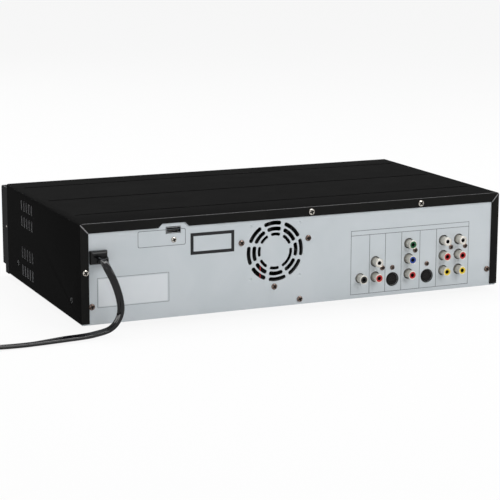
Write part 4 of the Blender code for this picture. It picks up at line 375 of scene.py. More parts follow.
    @staticmethod
    def refined(node: str, name: str) -> Object:
        """A copy of a CAD node's mesh with its loose triangles merged into clean faces.

        Args:
            node: The CAD node.
            name: The copy's name.

        Returns:
            The copy, ready for its edges to be broken.
        """
        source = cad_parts[node]
        mesh = source.data.copy()
        mesh.materials.clear()
        mesh.name = name
        piece = bpy.data.objects.new(name, mesh)
        bpy.context.scene.collection.objects.link(piece)
        Bench.hold(piece)
        if mesh.has_custom_normals:
            bpy.ops.mesh.customdata_custom_splitnormals_clear()
        bpy.ops.object.mode_set(mode="EDIT")
        bpy.ops.mesh.select_all(action="SELECT")
        bpy.ops.mesh.remove_doubles(threshold=0.002 * MM)
        bpy.ops.mesh.dissolve_limited(angle_limit=radians(0.6))
        bpy.ops.object.mode_set(mode="OBJECT")
        return piece

    @staticmethod
    def wire(name: str, points: Sequence[Point], radius: float, sides: int = 8) -> Object:
        """A round wire through points, made a mesh.

        Args:
            name: The piece's name.
            points: The points in mm.
            radius: The wire's radius in mm.
            sides: Sides of the wire.

        Returns:
            The wire.
        """
        curve = bpy.data.curves.new(name, "CURVE")
        curve.dimensions = "3D"
        curve.bevel_depth = radius * MM
        curve.bevel_resolution = max(sides // 4, 1)
        curve.use_fill_caps = True
        line = curve.splines.new("BEZIER")
        line.bezier_points.add(len(points) - 1)
        for knot, point in zip(line.bezier_points, points):
            knot.co = Vector(point) * MM
            knot.handle_left_type = "AUTO"
            knot.handle_right_type = "AUTO"
        line.resolution_u = 6
        made = bpy.data.objects.new(name, curve)
        bpy.context.scene.collection.objects.link(made)
        Bench.hold(made)
        bpy.ops.object.convert(target="MESH")
        return Bench.smooth(bpy.context.object, 50)


# Finishes


def linear(colour: Point) -> tuple[float, float, float, float]:
    """Turns a colour into the values that a shader takes.

    Args:
        colour: Its red, green and blue from 0 to 255.

    Returns:
        Its linear red, green and blue from 0 to 1, and 1 for no clearness.
    """
    shares = [channel / 255 for channel in colour]
    parts = [share / 12.92 if share <= 0.04045 else ((share + 0.055) / 1.055) ** 2.4 for share in shares]
    return (parts[0], parts[1], parts[2], 1.0)


class Effects:
    """The effects that the finishes share, each one node group that is built once."""

    def __init__(self) -> None:
        """Starts with no groups."""
        self.trees: dict[str, bpy.types.NodeTree] = {}

    def start(self, name: str, inputs: dict[str, float], outputs: dict[str, str]) -> tuple:
        """An empty group with its sockets.

        Args:
            name: The group's name.
            inputs: Names of the number inputs, with their usual values.
            outputs: Names of the outputs, with Float or Color for each.

        Returns:
            The tree, its input node and its output node.
        """
        tree = bpy.data.node_groups.new(name, "ShaderNodeTree")
        for label, value in inputs.items():
            socket = tree.interface.new_socket(name=label, in_out="INPUT", socket_type="NodeSocketFloat")
            socket.default_value = value
        for label, kind in outputs.items():
            tree.interface.new_socket(name=label, in_out="OUTPUT", socket_type="NodeSocket" + kind)
        self.trees[name] = tree
        return tree, tree.nodes.new("NodeGroupInput"), tree.nodes.new("NodeGroupOutput")

    @staticmethod
    def noise(
        tree: bpy.types.NodeTree, place: bpy.types.NodeSocket, scale: float, detail: float
    ) -> bpy.types.Node:
        """A noise texture.

        Args:
            tree: The tree that it goes into.
            place: The socket of the place that it reads.
            scale: Its scale per metre.
            detail: How many finer layers it has.

        Returns:
            The texture's node.
        """
        node = tree.nodes.new("ShaderNodeTexNoise")
        node.inputs["Scale"].default_value = scale
        node.inputs["Detail"].default_value = detail
        tree.links.new(place, node.inputs["Vector"])
        return node

    @staticmethod
    def sums(tree: bpy.types.NodeTree, kind: str, first: object, second: object) -> bpy.types.NodeSocket:
        """One sum of two values.

        Args:
            tree: The tree that it goes into.
            kind: The sum, as Blender names it.
            first: A number or a socket.
            second: A number or a socket.

        Returns:
            The result's socket.
        """
        node = tree.nodes.new("ShaderNodeMath")
        node.operation = kind
        for socket, value in zip(node.inputs, (first, second)):
            if isinstance(value, bpy.types.NodeSocket):
                tree.links.new(value, socket)
            else:
                socket.default_value = value
        return node.outputs[0]

    @staticmethod
    def ranged(tree: bpy.types.NodeTree, value: object, low: float, high: float) -> bpy.types.Node:
        """A smooth step from 0 to 1.

        Args:
            tree: The tree that it goes into.
            value: The socket that it reads.
            low: The value at which it starts to rise.
            high: The value at which it is 1.

        Returns:
            The step's node.
        """
        node = tree.nodes.new("ShaderNodeMapRange")
        node.interpolation_type = "SMOOTHSTEP"
        node.inputs["From Min"].default_value = low
        node.inputs["From Max"].default_value = high
        tree.links.new(value, node.inputs["Value"])
        return node

    def grain(self) -> bpy.types.NodeTree:
        """Fine grain of a moulding or of sprayed paint: its height."""
        if "grain" in self.trees:
            return self.trees["grain"]
        tree, taken, given = self.start("grain", {"Scale": 2500.0, "Mottle": 0.3}, {"Height": "Float"})
        place = tree.nodes.new("ShaderNodeTexCoord").outputs["Object"]
        fine = self.noise(tree, place, 2500.0, 3.0)
        tree.links.new(taken.outputs["Scale"], fine.inputs["Scale"])
        wide = self.noise(tree, place, 600.0, 2.0)
        tree.links.new(self.sums(tree, "MULTIPLY", taken.outputs["Scale"], 0.17), wide.inputs["Scale"])
        share = self.sums(tree, "MULTIPLY", wide.outputs["Fac"], taken.outputs["Mottle"])
        tree.links.new(self.sums(tree, "ADD", fine.outputs["Fac"], share), given.inputs["Height"])
        return tree

    def brushing(self) -> bpy.types.NodeTree:
        """Fine lines along X, as drawn or brushed metal has: their height."""
        if "brushing" in self.trees:
            return self.trees["brushing"]
        tree, taken, given = self.start("brushing", {"Scale": 1500.0}, {"Height": "Float"})
        place = tree.nodes.new("ShaderNodeTexCoord").outputs["Object"]
        stretch = tree.nodes.new("ShaderNodeMapping")
        stretch.inputs["Scale"].default_value = (0.03, 1.0, 1.0)
        tree.links.new(place, stretch.inputs["Vector"])
        lines = self.noise(tree, stretch.outputs["Vector"], 1500.0, 4.0)
        tree.links.new(taken.outputs["Scale"], lines.inputs["Scale"])
        tree.links.new(lines.outputs["Fac"], given.inputs["Height"])
        return tree

    def handling(self) -> bpy.types.NodeTree:
        """Broad smudges and faint uneven gloss: a value between Low and High, and the bare mask."""
        if "handling" in self.trees:
            return self.trees["handling"]
        tree, taken, given = self.start(
            "handling", {"Scale": 25.0, "Low": 0.4, "High": 0.6}, {"Value": "Float", "Mask": "Float"}
        )
        place = tree.nodes.new("ShaderNodeTexCoord").outputs["Object"]
        broad = self.noise(tree, place, 25.0, 5.0)
        broad.inputs["Distortion"].default_value = 0.6
        tree.links.new(taken.outputs["Scale"], broad.inputs["Scale"])
        node = self.ranged(tree, broad.outputs["Fac"], 0.3, 0.7)
        span = self.sums(tree, "SUBTRACT", taken.outputs["High"], taken.outputs["Low"])
        risen = self.sums(tree, "MULTIPLY", node.outputs[0], span)
        tree.links.new(self.sums(tree, "ADD", risen, taken.outputs["Low"]), given.inputs["Value"])
        tree.links.new(node.outputs[0], given.inputs["Mask"])
        return tree

    def dust(self) -> bpy.types.NodeTree:
        """Thin dust that settles on faces that look up: its mask."""
        if "dust" in self.trees:
            return self.trees["dust"]
        tree, taken, given = self.start("dust", {"Amount": 0.1}, {"Mask": "Float"})
        place = tree.nodes.new("ShaderNodeTexCoord").outputs["Object"]
        specks = self.noise(tree, place, 900.0, 2.0)
        clouds = self.noise(tree, place, 14.0, 4.0)
        parts = tree.nodes.new("ShaderNodeSeparateXYZ")
        tree.links.new(tree.nodes.new("ShaderNodeNewGeometry").outputs["Normal"], parts.inputs[0])
        upward = self.ranged(tree, parts.outputs["Z"], 0.5, 1.0).outputs[0]
        spotted = self.ranged(tree, specks.outputs["Fac"], 0.45, 0.75).outputs[0]
        drifts = self.sums(tree, "MULTIPLY", spotted, clouds.outputs["Fac"])
        settled = self.sums(tree, "MULTIPLY", drifts, upward)
        tree.links.new(self.sums(tree, "MULTIPLY", settled, taken.outputs["Amount"]), given.inputs["Mask"])
        return tree

    def tracks(self) -> bpy.types.NodeTree:
        """Tracks and pads of a circuit board: a mask of each."""
        if "tracks" in self.trees:
            return self.trees["tracks"]
        tree, taken, given = self.start("tracks", {"Scale": 200.0}, {"Tracks": "Float", "Pads": "Float"})
        place = tree.nodes.new("ShaderNodeTexCoord").outputs["Object"]
        cells = tree.nodes.new("ShaderNodeTexVoronoi")
        cells.distance = "CHEBYCHEV"
        cells.feature = "F1"
        tree.links.new(place, cells.inputs["Vector"])
        tree.links.new(taken.outputs["Scale"], cells.inputs["Scale"])
        bands = self.sums(tree, "SINE", self.sums(tree, "MULTIPLY", cells.outputs["Distance"], 42.0), 0.0)
        tree.links.new(self.ranged(tree, bands, 0.35, 0.6).outputs[0], given.inputs["Tracks"])
        dots = tree.nodes.new("ShaderNodeTexVoronoi")
        tree.links.new(place, dots.inputs["Vector"])
        tree.links.new(self.sums(tree, "MULTIPLY", taken.outputs["Scale"], 1.9), dots.inputs["Scale"])
        near = self.ranged(tree, dots.outputs["Distance"], 0.14, 0.2).outputs[0]
        tree.links.new(self.sums(tree, "SUBTRACT", 1.0, near), given.inputs["Pads"])
        return tree


class Surface(Enum):
    """What the finest texture of a finish is."""

    GRAIN = "grain"
    BRUSHED = "brushed"


@dataclass(frozen=True)
class Finish:
    """How a surface looks. Colours are 0 to 255, lengths are in mm, and a scale is per metre.

    Attributes:
        name: Name of its material.
        slot: The record's material slot.
        colour: Its main colour.
        shade: The colour that is mixed in, in broad clouds.
        gloss: The least and the most roughness.
        metal: How metallic it is, from 0 to 1.
        specular: Strength of its plain reflection.
        surface: Kind of its finest texture.
        scale: Scale of that texture.
        depth: Depth of that texture.
        clouds: Scale of the clouds.
        dust: How much dust lies on it, from 0 to 1.
        coat: Weight of its clear coat.
    """

    name: str
    slot: str
    colour: tuple[int, int, int]
    shade: tuple[int, int, int]
    gloss: tuple[float, float]
    metal: float = 0.0
    specular: float = 0.5
    surface: Surface = Surface.GRAIN
    scale: float = 2500.0
    depth: float = 0.02
    clouds: float = 22.0
    dust: float = 0.0
    coat: float = 0.0

    COAT_ROUGHNESS = 0.12
    BUMP_STRENGTH = 0.6
    MOTTLE = 0.5
    DUST = (150, 148, 142)

    def shader(self, tree: bpy.types.NodeTree) -> bpy.types.Node:
        """Starts the material with its shader.

        Args:
            tree: The material's nodes.

        Returns:
            The shader's node, with the values that are the same all over the surface.
        """
        tree.nodes.clear()
        shader = tree.nodes.new("ShaderNodeBsdfPrincipled")
        shader.inputs["Metallic"].default_value = self.metal
        shader.inputs["Specular IOR Level"].default_value = self.specular
        shader.inputs["Coat Weight"].default_value = self.coat
        shader.inputs["Coat Roughness"].default_value = self.COAT_ROUGHNESS
        output = tree.nodes.new("ShaderNodeOutputMaterial")
        tree.links.new(shader.outputs[0], output.inputs[0])
        return shader

    def build(self, effects: Effects) -> bpy.types.Material:
        """Makes the material.

        Args:
            effects: The shared node groups.

        Returns:
            The material.
        """
        material = bpy.data.materials.new(self.name)
        material.use_nodes = True
        tree = material.node_tree
        shader = self.shader(tree)
        handling = placed(tree, effects.handling(), Scale=self.clouds, Low=self.gloss[0], High=self.gloss[1])
        tree.links.new(handling.outputs["Value"], shader.inputs["Roughness"])
        colour = mixed(tree, handling.outputs["Mask"], linear(self.colour), linear(self.shade))
        if self.dust > 0:
            dust = placed(tree, effects.dust(), Amount=self.dust)
            colour = mixed(tree, dust.outputs["Mask"], colour, linear(self.DUST))
        self.painted(tree, effects, shader, colour)
        if self.surface is Surface.BRUSHED:
            height = placed(tree, effects.brushing(), Scale=self.scale).outputs["Height"]
        else:
            height = placed(tree, effects.grain(), Scale=self.scale, Mottle=self.MOTTLE).outputs["Height"]
        bump = tree.nodes.new("ShaderNodeBump")
        bump.inputs["Distance"].default_value = self.depth * MM
        bump.inputs["Strength"].default_value = self.BUMP_STRENGTH
        tree.links.new(height, bump.inputs["Height"])
        tree.links.new(bump.outputs[0], shader.inputs["Normal"])
        return material

    def painted(
        self, tree: bpy.types.NodeTree, effects: Effects, shader: bpy.types.Node, colour: object
    ) -> None:
        """Links the colour to the shader.

        Args:
            tree: The material's nodes.
            effects: The shared node groups, for a finish that lays something over the colour.
            shader: The shader's node.
            colour: The colour or its socket.
        """
        tree.links.new(colour, shader.inputs["Base Color"])


@dataclass(frozen=True)
class BoardFinish(Finish):
    """A circuit board: solder mask with tracks and pads under it.

    Attributes:
        track: Colour of the mask over a track.
        pad: Colour of a pad.
        pitch: Scale of the tracks.
    """

    track: tuple[int, int, int] = (38, 112, 62)
    pad: tuple[int, int, int] = (186, 182, 166)
    pitch: float = 130.0

    def painted(
        self, tree: bpy.types.NodeTree, effects: Effects, shader: bpy.types.Node, colour: object
    ) -> None:
        """Lays the tracks and pads over the mask's colour.

        Args:
            tree: The material's nodes.
            effects: The shared node groups.
            shader: The shader's node.
            colour: The mask's colour or its socket.
        """
        tracks = placed(tree, effects.tracks(), Scale=self.pitch)
        laid = mixed(tree, tracks.outputs["Tracks"], colour, linear(self.track))
        padded = mixed(tree, tracks.outputs["Pads"], laid, linear(self.pad))
        tree.links.new(padded, shader.inputs["Base Color"])


def placed(tree: bpy.types.NodeTree, group: bpy.types.NodeTree, **values: float) -> bpy.types.Node:
    """Puts a group into a material.

    Args:
        tree: The material's nodes.
        group: The group.
        values: The group's inputs.

    Returns:
        The group's node.
    """
    node = tree.nodes.new("ShaderNodeGroup")
    node.node_tree = group
    for label, value in values.items():
        node.inputs[label].default_value = value
    return node


def mixed(tree: bpy.types.NodeTree, share: object, first: object, second: object) -> bpy.types.NodeSocket:
    """Mixes two colours.

    Args:
        tree: The material's nodes.
        share: The socket that says how much of the second.
        first: A colour or a socket.
        second: A colour or a socket.

    Returns:
        The mixed colour's socket.
    """
    node = tree.nodes.new("ShaderNodeMix")
    node.data_type = "RGBA"
    tree.links.new(share, node.inputs[0])
    for socket, value in ((node.inputs[6], first), (node.inputs[7], second)):
        if isinstance(value, bpy.types.NodeSocket):
            tree.links.new(value, socket)
        else:
            socket.default_value = value
    return node.outputs[2]


COVER = Finish(
    "cover_paint", "cover_paint", (16, 16, 16), (18, 18, 18), (0.5, 0.6), 0, 0.001,
    scale=2200, depth=0.03, dust=0.002
)
# Lighter copy of the cover's black paint for its broken edges and rear fold: a painted highlight.
COVER_EDGE_HIGHLIGHT = Finish("cover_edge_highlight", "cover_paint", (50, 50, 51), (60, 60, 61), (0.3, 0.4), 0.2, 0.3, depth=0.01)
# Bright copy of the cover's paint in the mitre seams and on the vent slots' walls: a painted highlight.
SEAM_HIGHLIGHT = Finish("cover_seam_highlight", "cover_paint", (132, 132, 134), (146, 146, 148), (0.3, 0.4), 0.2, 0.3, depth=0.01)
# The cover's black paint made lighter on the rear lips' faces, as they are lit: painted light.
LIT_LIP = Finish(
    "cover_lip_lit", "cover_paint", (31, 31, 31), (34, 34, 33), (0.5, 0.6), 0, 0.001, scale=2200, depth=0.03
)
REAR = Finish(
    "rear_paint", "rear_paint", (203, 209, 213), (198, 205, 209), (0.42, 0.55), 0, 0.3, scale=2600, depth=0.02
)
# Lighter paint on the rear panel's broken edges: a painted highlight.
REAR_EDGE_HIGHLIGHT = Finish(
    "rear_edge_highlight", "rear_paint", (214, 218, 221), (205, 209, 212), (0.35, 0.45), 0.3, 0.4, depth=0.01
)
FRONT = Finish(
    "front_plastic", "front_plastic", (20, 20, 21), (23, 23, 24), (0.3, 0.4), 0, 0.004, scale=1800, depth=0.01
)
# Lighter plastic on the front's broken edges: a painted highlight.
FRONT_EDGE_HIGHLIGHT = Finish(
    "front_edge_highlight", "front_plastic", (52, 52, 54), (60, 60, 62), (0.2, 0.28), 0, 0.1, depth=0.01
)
SMOKE = Finish(
    "window_smoke", "window_smoke", (12, 12, 14), (15, 15, 18), (0.04, 0.08), 0, 0.5, depth=0.003, coat=0.4
)
BUTTON = Finish(
    "button_plastic", "button_plastic", (52, 53, 56), (60, 61, 64), (0.25, 0.35),
    0.2, 0.5, scale=2600, depth=0.01
)
BOARD = BoardFinish(
    "board_green", "board_green", (16, 78, 40), (20, 86, 46), (0.3, 0.4), depth=0.02, coat=0.2
)
ZINC = Finish(
    "zinc_steel", "zinc_steel", (168, 170, 170), (148, 151, 153), (0.28, 0.42),
    0.9, scale=900, depth=0.02, clouds=90
)
RUBBER = Finish(
    "foot_rubber", "foot_rubber", (24, 24, 24), (32, 31, 30), (0.75, 0.9),
    0, 0.25, scale=3000, depth=0.04, dust=0.1
)
TAPE = Finish("tape_yellow", "tape_yellow", (214, 176, 60), (204, 164, 52), (0.35, 0.45), 0, 0.4, depth=0.02)
SLEEVE = Finish("sleeve_grey", "sleeve_grey", (42, 44, 50), (50, 52, 60), (0.3, 0.4), 0, 0.45, depth=0.01)
ALUMINIUM = Finish(
    "bare_aluminium", "bare_aluminium", (196, 198, 200), (182, 184, 188), (0.25, 0.36), 1.0,
    surface=Surface.BRUSHED
)
NICKEL = Finish(
    "jack_nickel", "jack_nickel", (228, 224, 214), (218, 213, 202), (0.3, 0.42), 0.55, depth=0.005, clouds=300
)
JACK = Finish("jack_plastic", "jack_plastic", (22, 21, 21), (28, 27, 26), (0.35, 0.45), 0, 0.15, depth=0.01)
FAN = Finish(
    "fan_plastic", "fan_plastic", (18, 18, 19), (24, 24, 25), (0.4, 0.55), 0, 0.35, depth=0.02, dust=0.1
)
RELIEF = Finish(
    "relief_plastic", "relief_plastic", (13, 13, 14), (16, 16, 17), (0.12, 0.2), 0, 0.2, depth=0.01
)
VINYL = Finish(
    "cord_vinyl", "cord_vinyl", (9, 9, 12), (12, 12, 15), (0.08, 0.14), 0, 0.3, scale=3000, depth=0.006
)
DRIVE = Finish(
    "drive_plastic", "drive_plastic", (28, 28, 30), (34, 34, 36), (0.42, 0.55), 0, 0.4, scale=1700, depth=0.03
)
TRAY = Finish(
    "tray_plastic", "tray_plastic", (33, 33, 35), (38, 38, 41), (0.32, 0.45), 0, 0.4, scale=2100, depth=0.02
)
GEAR = Finish(
    "gear_plastic", "gear_plastic", (226, 224, 214), (216, 213, 201), (0.3, 0.42), 0, 0.45, depth=0.01
)
BELT = Finish(
    "belt_rubber", "belt_rubber", (18, 18, 18), (26, 26, 26), (0.6, 0.75), 0, 0.3, scale=4000, depth=0.03
)
STEEL = Finish(
    "bare_steel", "bare_steel", (178, 180, 182), (158, 161, 164), (0.2, 0.32), 1.0,
    surface=Surface.BRUSHED, scale=1800
)
BRASS = Finish(
    "flywheel_brass", "flywheel_brass", (196, 164, 96), (178, 146, 82), (0.25, 0.35), 1.0, depth=0.01
)
SCREW = Finish(
    "screw_nickel", "screw_nickel", (200, 196, 188), (160, 154, 146), (0.1, 0.18),
    1.0, depth=0.004, clouds=500
)
DARK_SCREW = Finish(
    "screw_dark", "screw_dark", (128, 112, 104), (88, 74, 68), (0.1, 0.18), 1.0, depth=0.004, clouds=500
)
PRINT = Finish("print_dark", "print_dark", (86, 92, 98), (92, 98, 104), (0.45, 0.55), 0, 0.3, depth=0.003)
PRINT_BLACK = Finish("print_black", "print_dark", (20, 21, 23), (25, 26, 28), (0.4, 0.5), 0, 0.3, depth=0.003)
PRINT_LIGHT = Finish(
    "print_light", "print_light", (196, 198, 200), (188, 190, 192), (0.45, 0.55), 0, 0.3, depth=0.003
)
LABEL = Finish(
    "label_white", "label_white", (222, 226, 229), (216, 221, 225), (0.35, 0.45), 0, 0.35, depth=0.004
)
INSERTS = {
    "black": Finish("insert_black", "insert_black", (26, 25, 25), (32, 31, 31), (0.3, 0.4), depth=0.006),
    "white": Finish(
        "insert_white", "insert_white", (234, 231, 226), (226, 223, 217), (0.3, 0.4), depth=0.006
    ),
    "red": Finish("insert_red", "insert_red", (196, 34, 38), (184, 28, 32), (0.3, 0.4), depth=0.006),
    "yellow": Finish(
        "insert_yellow", "insert_yellow", (242, 214, 58), (234, 204, 46), (0.3, 0.4), depth=0.006
    ),
    "green": Finish("insert_green", "insert_green", (28, 104, 62), (22, 92, 54), (0.3, 0.4), depth=0.006),
    "blue": Finish("insert_blue", "insert_blue", (40, 76, 168), (32, 66, 154), (0.3, 0.4), depth=0.006),
}


class Paintbox:
    """Makes each finish's material once and puts it on pieces."""

    def __init__(self) -> None:
        """Starts with the shared effects and no materials."""
        self.effects = Effects()
        self.made: dict[str, bpy.types.Material] = {}

    def material(self, finish: Finish) -> bpy.types.Material:
        """The finish's material, which is made when it is first asked for.

        Args:
            finish: The finish.

        Returns:
            Its material.
        """
        if finish.name not in self.made:
            self.made[finish.name] = finish.build(self.effects)
        return self.made[finish.name]

    def dress(self, piece: Object, *finishes: Finish) -> None:
        """Gives a piece its finishes.

        Args:
            piece: The piece.
            finishes: The first for its faces, and the next for its other slots.
        """
        piece.data.materials.clear()
        for finish in finishes:
            piece.data.materials.append(self.material(finish))


class Assembly:
    """A part of the player: it makes its pieces and hands each in with its body and finish."""

    def __init__(self, paints: Paintbox) -> None:
        """Keeps the paintbox.

        Args:
            paints: The paintbox.
        """
        self.paints = paints

    def keep(
        self, piece: Object, body: str, *finishes: Finish, nodes: Sequence[str] = (), painted: bool = False
    ) -> Object:
        """Hands in a finished piece.

        Args:
            piece: The piece.
            body: The body that it rides on.
            finishes: Its finishes, the first for its slot in the record.
            nodes: The CAD nodes that it stands for.
            painted: True where its faces have their finishes already.

        Returns:
            The piece.
        """
        if not painted:
            self.paints.dress(piece, *finishes)
        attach(piece, body)
        if nodes:
            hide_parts(*nodes)
        LOG.info("%s rides on %s", piece.name, body)
        return piece

    def refine(
        self,
        node: str,
        body: str,
        finish: Finish,
        edge: Finish | None = None,
        width: float = 0.25,
        steps: int = 2,
    ) -> Object:
        """Stands a copy with broken edges in for a CAD node.

        Args:
            node: The node.
            body: The body that it rides on.
            finish: Its finish.
            edge: The finish of its broken edges, where they differ; the lighter ones given are painted
                highlights.
            width: Width of the broken edges in mm.
            steps: Facets of the edges.

        Returns:
            The piece.
        """
        piece = Bench.refined(node, node + "_form")
        self.paints.dress(piece, *([finish, edge] if edge else [finish]))
        Bench.soften(piece, width, steps, edge=1 if edge else -1)
        return self.keep(piece, body, finish, nodes=[node], painted=True)


# Studio


@dataclass(frozen=True)
class SoftBox:
    """One lamp of the studio.

    Attributes:
        name: Its name.
        place: Its place.
        power: Its power in watts.
        size: Its width and height.
    """

    name: str
    place: tuple[float, float, float]
    power: float
    size: tuple[float, float]


@dataclass
class Studio:
    """Camera, lamps, world and floor.

    Attributes:
        place: The camera's place.
        azimuth: Direction from the case to the camera, from X, in radians.
        elevation: Its angle over the floor in radians.
        roll: Its turn about its own view in radians.
        lens: Its focal length.
        sensor: Width of its picture at the lens.
        sky: Strength of the world's light on the object.
        shadow: Share of the floor's plain white that hides its shading.
        floor_size: Side of the floor.
        aim: Height of the point that the lamps look at.
    """

    LAMPS = (
        SoftBox("key_lamp", (-700, 2000, 1500), 22.0, (1200, 1200)),
        SoftBox("top_box", (-200, -320, 1700), 32.0, (2200, 600)),
        SoftBox("left_box", (2000, -300, 500), 13.0, (700, 1200)),
        SoftBox("right_box", (-2000, -300, 700), 13.0, (1000, 1400)),
        SoftBox("front_lamp", (500, -1900, 1000), 12.0, (1400, 900)),
    )

    place: tuple[float, float, float] = (677.78, 1545.74, 385.45)
    azimuth: float = 1.155901
    elevation: float = 0.204776
    roll: float = 0.0029538
    lens: float = 122.6
    sensor: float = 36.0
    sky: float = 0.42
    shadow: float = 0.9
    floor_size: float = 24000.0
    aim: float = 50.0

    def shoot(self) -> None:
        """Sets up the whole studio."""
        bpy.context.scene.view_settings.view_transform = "Standard"
        self.camera()
        for box in self.LAMPS:
            self.lamp(box)
        self.world()
        self.floor()

    def camera(self) -> None:
        """Places the camera as the photograph was taken."""
        flat, rise = cos(self.elevation), sin(self.elevation)
        back = Vector((flat * cos(self.azimuth), flat * sin(self.azimuth), rise))
        right = (-back).cross(Vector((0, 0, 1))).normalized()
        up = right.cross(-back)
        c, s = cos(self.roll), sin(self.roll)
        columns = (right * c + up * s, up * c - right * s, back)
        turn = Matrix([[column[i] for column in columns] for i in range(3)]).to_4x4()
        data = bpy.data.cameras.new("camera")
        data.lens = self.lens
        data.sensor_width = self.sensor
        data.clip_start = 0.05
        data.clip_end = 100.0
        camera = bpy.data.objects.new("camera", data)
        camera.matrix_world = Matrix.Translation(Vector(self.place) * MM) @ turn
        bpy.context.scene.collection.objects.link(camera)
        bpy.context.scene.camera = camera

    def lamp(self, box: SoftBox) -> None:
        """Puts up a soft box that looks at the middle of the case.

        Args:
            box: The lamp.
        """
        data = bpy.data.lights.new(box.name, "AREA")
        data.shape = "RECTANGLE"
        data.size, data.size_y = box.size[0] * MM, box.size[1] * MM
        data.energy = box.power
        lamp = bpy.data.objects.new(box.name, data)
        lamp.location = Vector(box.place) * MM
        aim = Vector((0, 0, self.aim * MM)) - lamp.location
        lamp.rotation_euler = aim.to_track_quat("-Z", "Y").to_euler()
        bpy.context.scene.collection.objects.link(lamp)

    def seen(self, tree: bpy.types.NodeTree) -> bpy.types.NodeSocket:
        """Tells the rays that see a surface from those that light it.

        Args:
            tree: The nodes that ask.

        Returns:
            A socket that is 1 for camera, glossy and transmission rays.
        """
        path = tree.nodes.new("ShaderNodeLightPath")
        first = Effects.sums(tree, "MAXIMUM", path.outputs["Is Camera Ray"], path.outputs["Is Glossy Ray"])
        return Effects.sums(tree, "MAXIMUM", first, path.outputs["Is Transmission Ray"])

    def world(self) -> None:
        """A white world that lights the object softly."""
        world = bpy.data.worlds.new("studio")
        world.use_nodes = True
        bpy.context.scene.world = world
        tree = world.node_tree
        tree.nodes.clear()
        background = tree.nodes.new("ShaderNodeBackground")
        background.inputs["Color"].default_value = (1, 1, 1, 1)
        seen = self.seen(tree)
        strength = Effects.sums(tree, "MULTIPLY", seen, 1.0 - self.sky)
        tree.links.new(Effects.sums(tree, "ADD", strength, self.sky), background.inputs["Strength"])
        output = tree.nodes.new("ShaderNodeOutputWorld")
        tree.links.new(background.outputs[0], output.inputs[0])

    def floor(self) -> None:
        """A pale floor that keeps the object's shadow."""
        Bench.clear()
        bpy.ops.mesh.primitive_plane_add(size=self.floor_size * MM, location=(0, 0, 0))
        floor = Bench.settle("floor")
        material = bpy.data.materials.new("pale_floor")
        material.use_nodes = True
        tree = material.node_tree
        tree.nodes.clear()
        matte = tree.nodes.new("ShaderNodeBsdfDiffuse")
        matte.inputs["Color"].default_value = (0.6, 0.6, 0.6, 1)
        light = tree.nodes.new("ShaderNodeEmission")
        light.inputs["Color"].default_value = (1, 1, 1, 1)
        light.inputs["Strength"].default_value = 1.0
        mix = tree.nodes.new("ShaderNodeMixShader")
        tree.links.new(Effects.sums(tree, "MULTIPLY", self.seen(tree), self.shadow), mix.inputs[0])
        tree.links.new(matte.outputs[0], mix.inputs[1])
        tree.links.new(light.outputs[0], mix.inputs[2])
        output = tree.nodes.new("ShaderNodeOutputMaterial")
        tree.links.new(mix.outputs[0], output.inputs[0])
        floor.data.materials.append(material)


# Mains cord


@dataclass
class CordSizes:
    """Sizes of the mains cord and its coil.

    Attributes:
        wide: Width of the flat cord.
        thick: Its thickness.
        solid: Diameter of the round tube that stands for it among the solids.
        radius: Outer radius of the coil, to the cord's middle.
        pitch: Step from one turn to the next inside it.
        layer_turns: Turns in each of the two layers.
        climb_turns: Turns on the way up between them.
        turn_points: Points in a turn.
        tail: Straight length from the coil to the plug.
        lean: Lean of the cord's wide side in the coil, from upright.
        low_layer: Height of the lower layer's middle.
        high_layer: Height of the upper layer's middle.
        plug_middle: Height of the plug's middle.
        gap: Room between the cord and the coil.
        step: Least step between two points of the middle line.
    """

    wide: float = 7.1
    thick: float = 3.5
    solid: float = 4.8
    radius: float = 44.0
    pitch: float = 5.3
    layer_turns: float = 2.375
    climb_turns: float = 0.5
    turn_points: int = 24
    tail: float = 16.0
    lean: float = radians(25)
    low_layer: float = 3.7
    high_layer: float = 10.5
    plug_middle: float = 7.9
    gap: float = 0.3
    step: float = 2.6


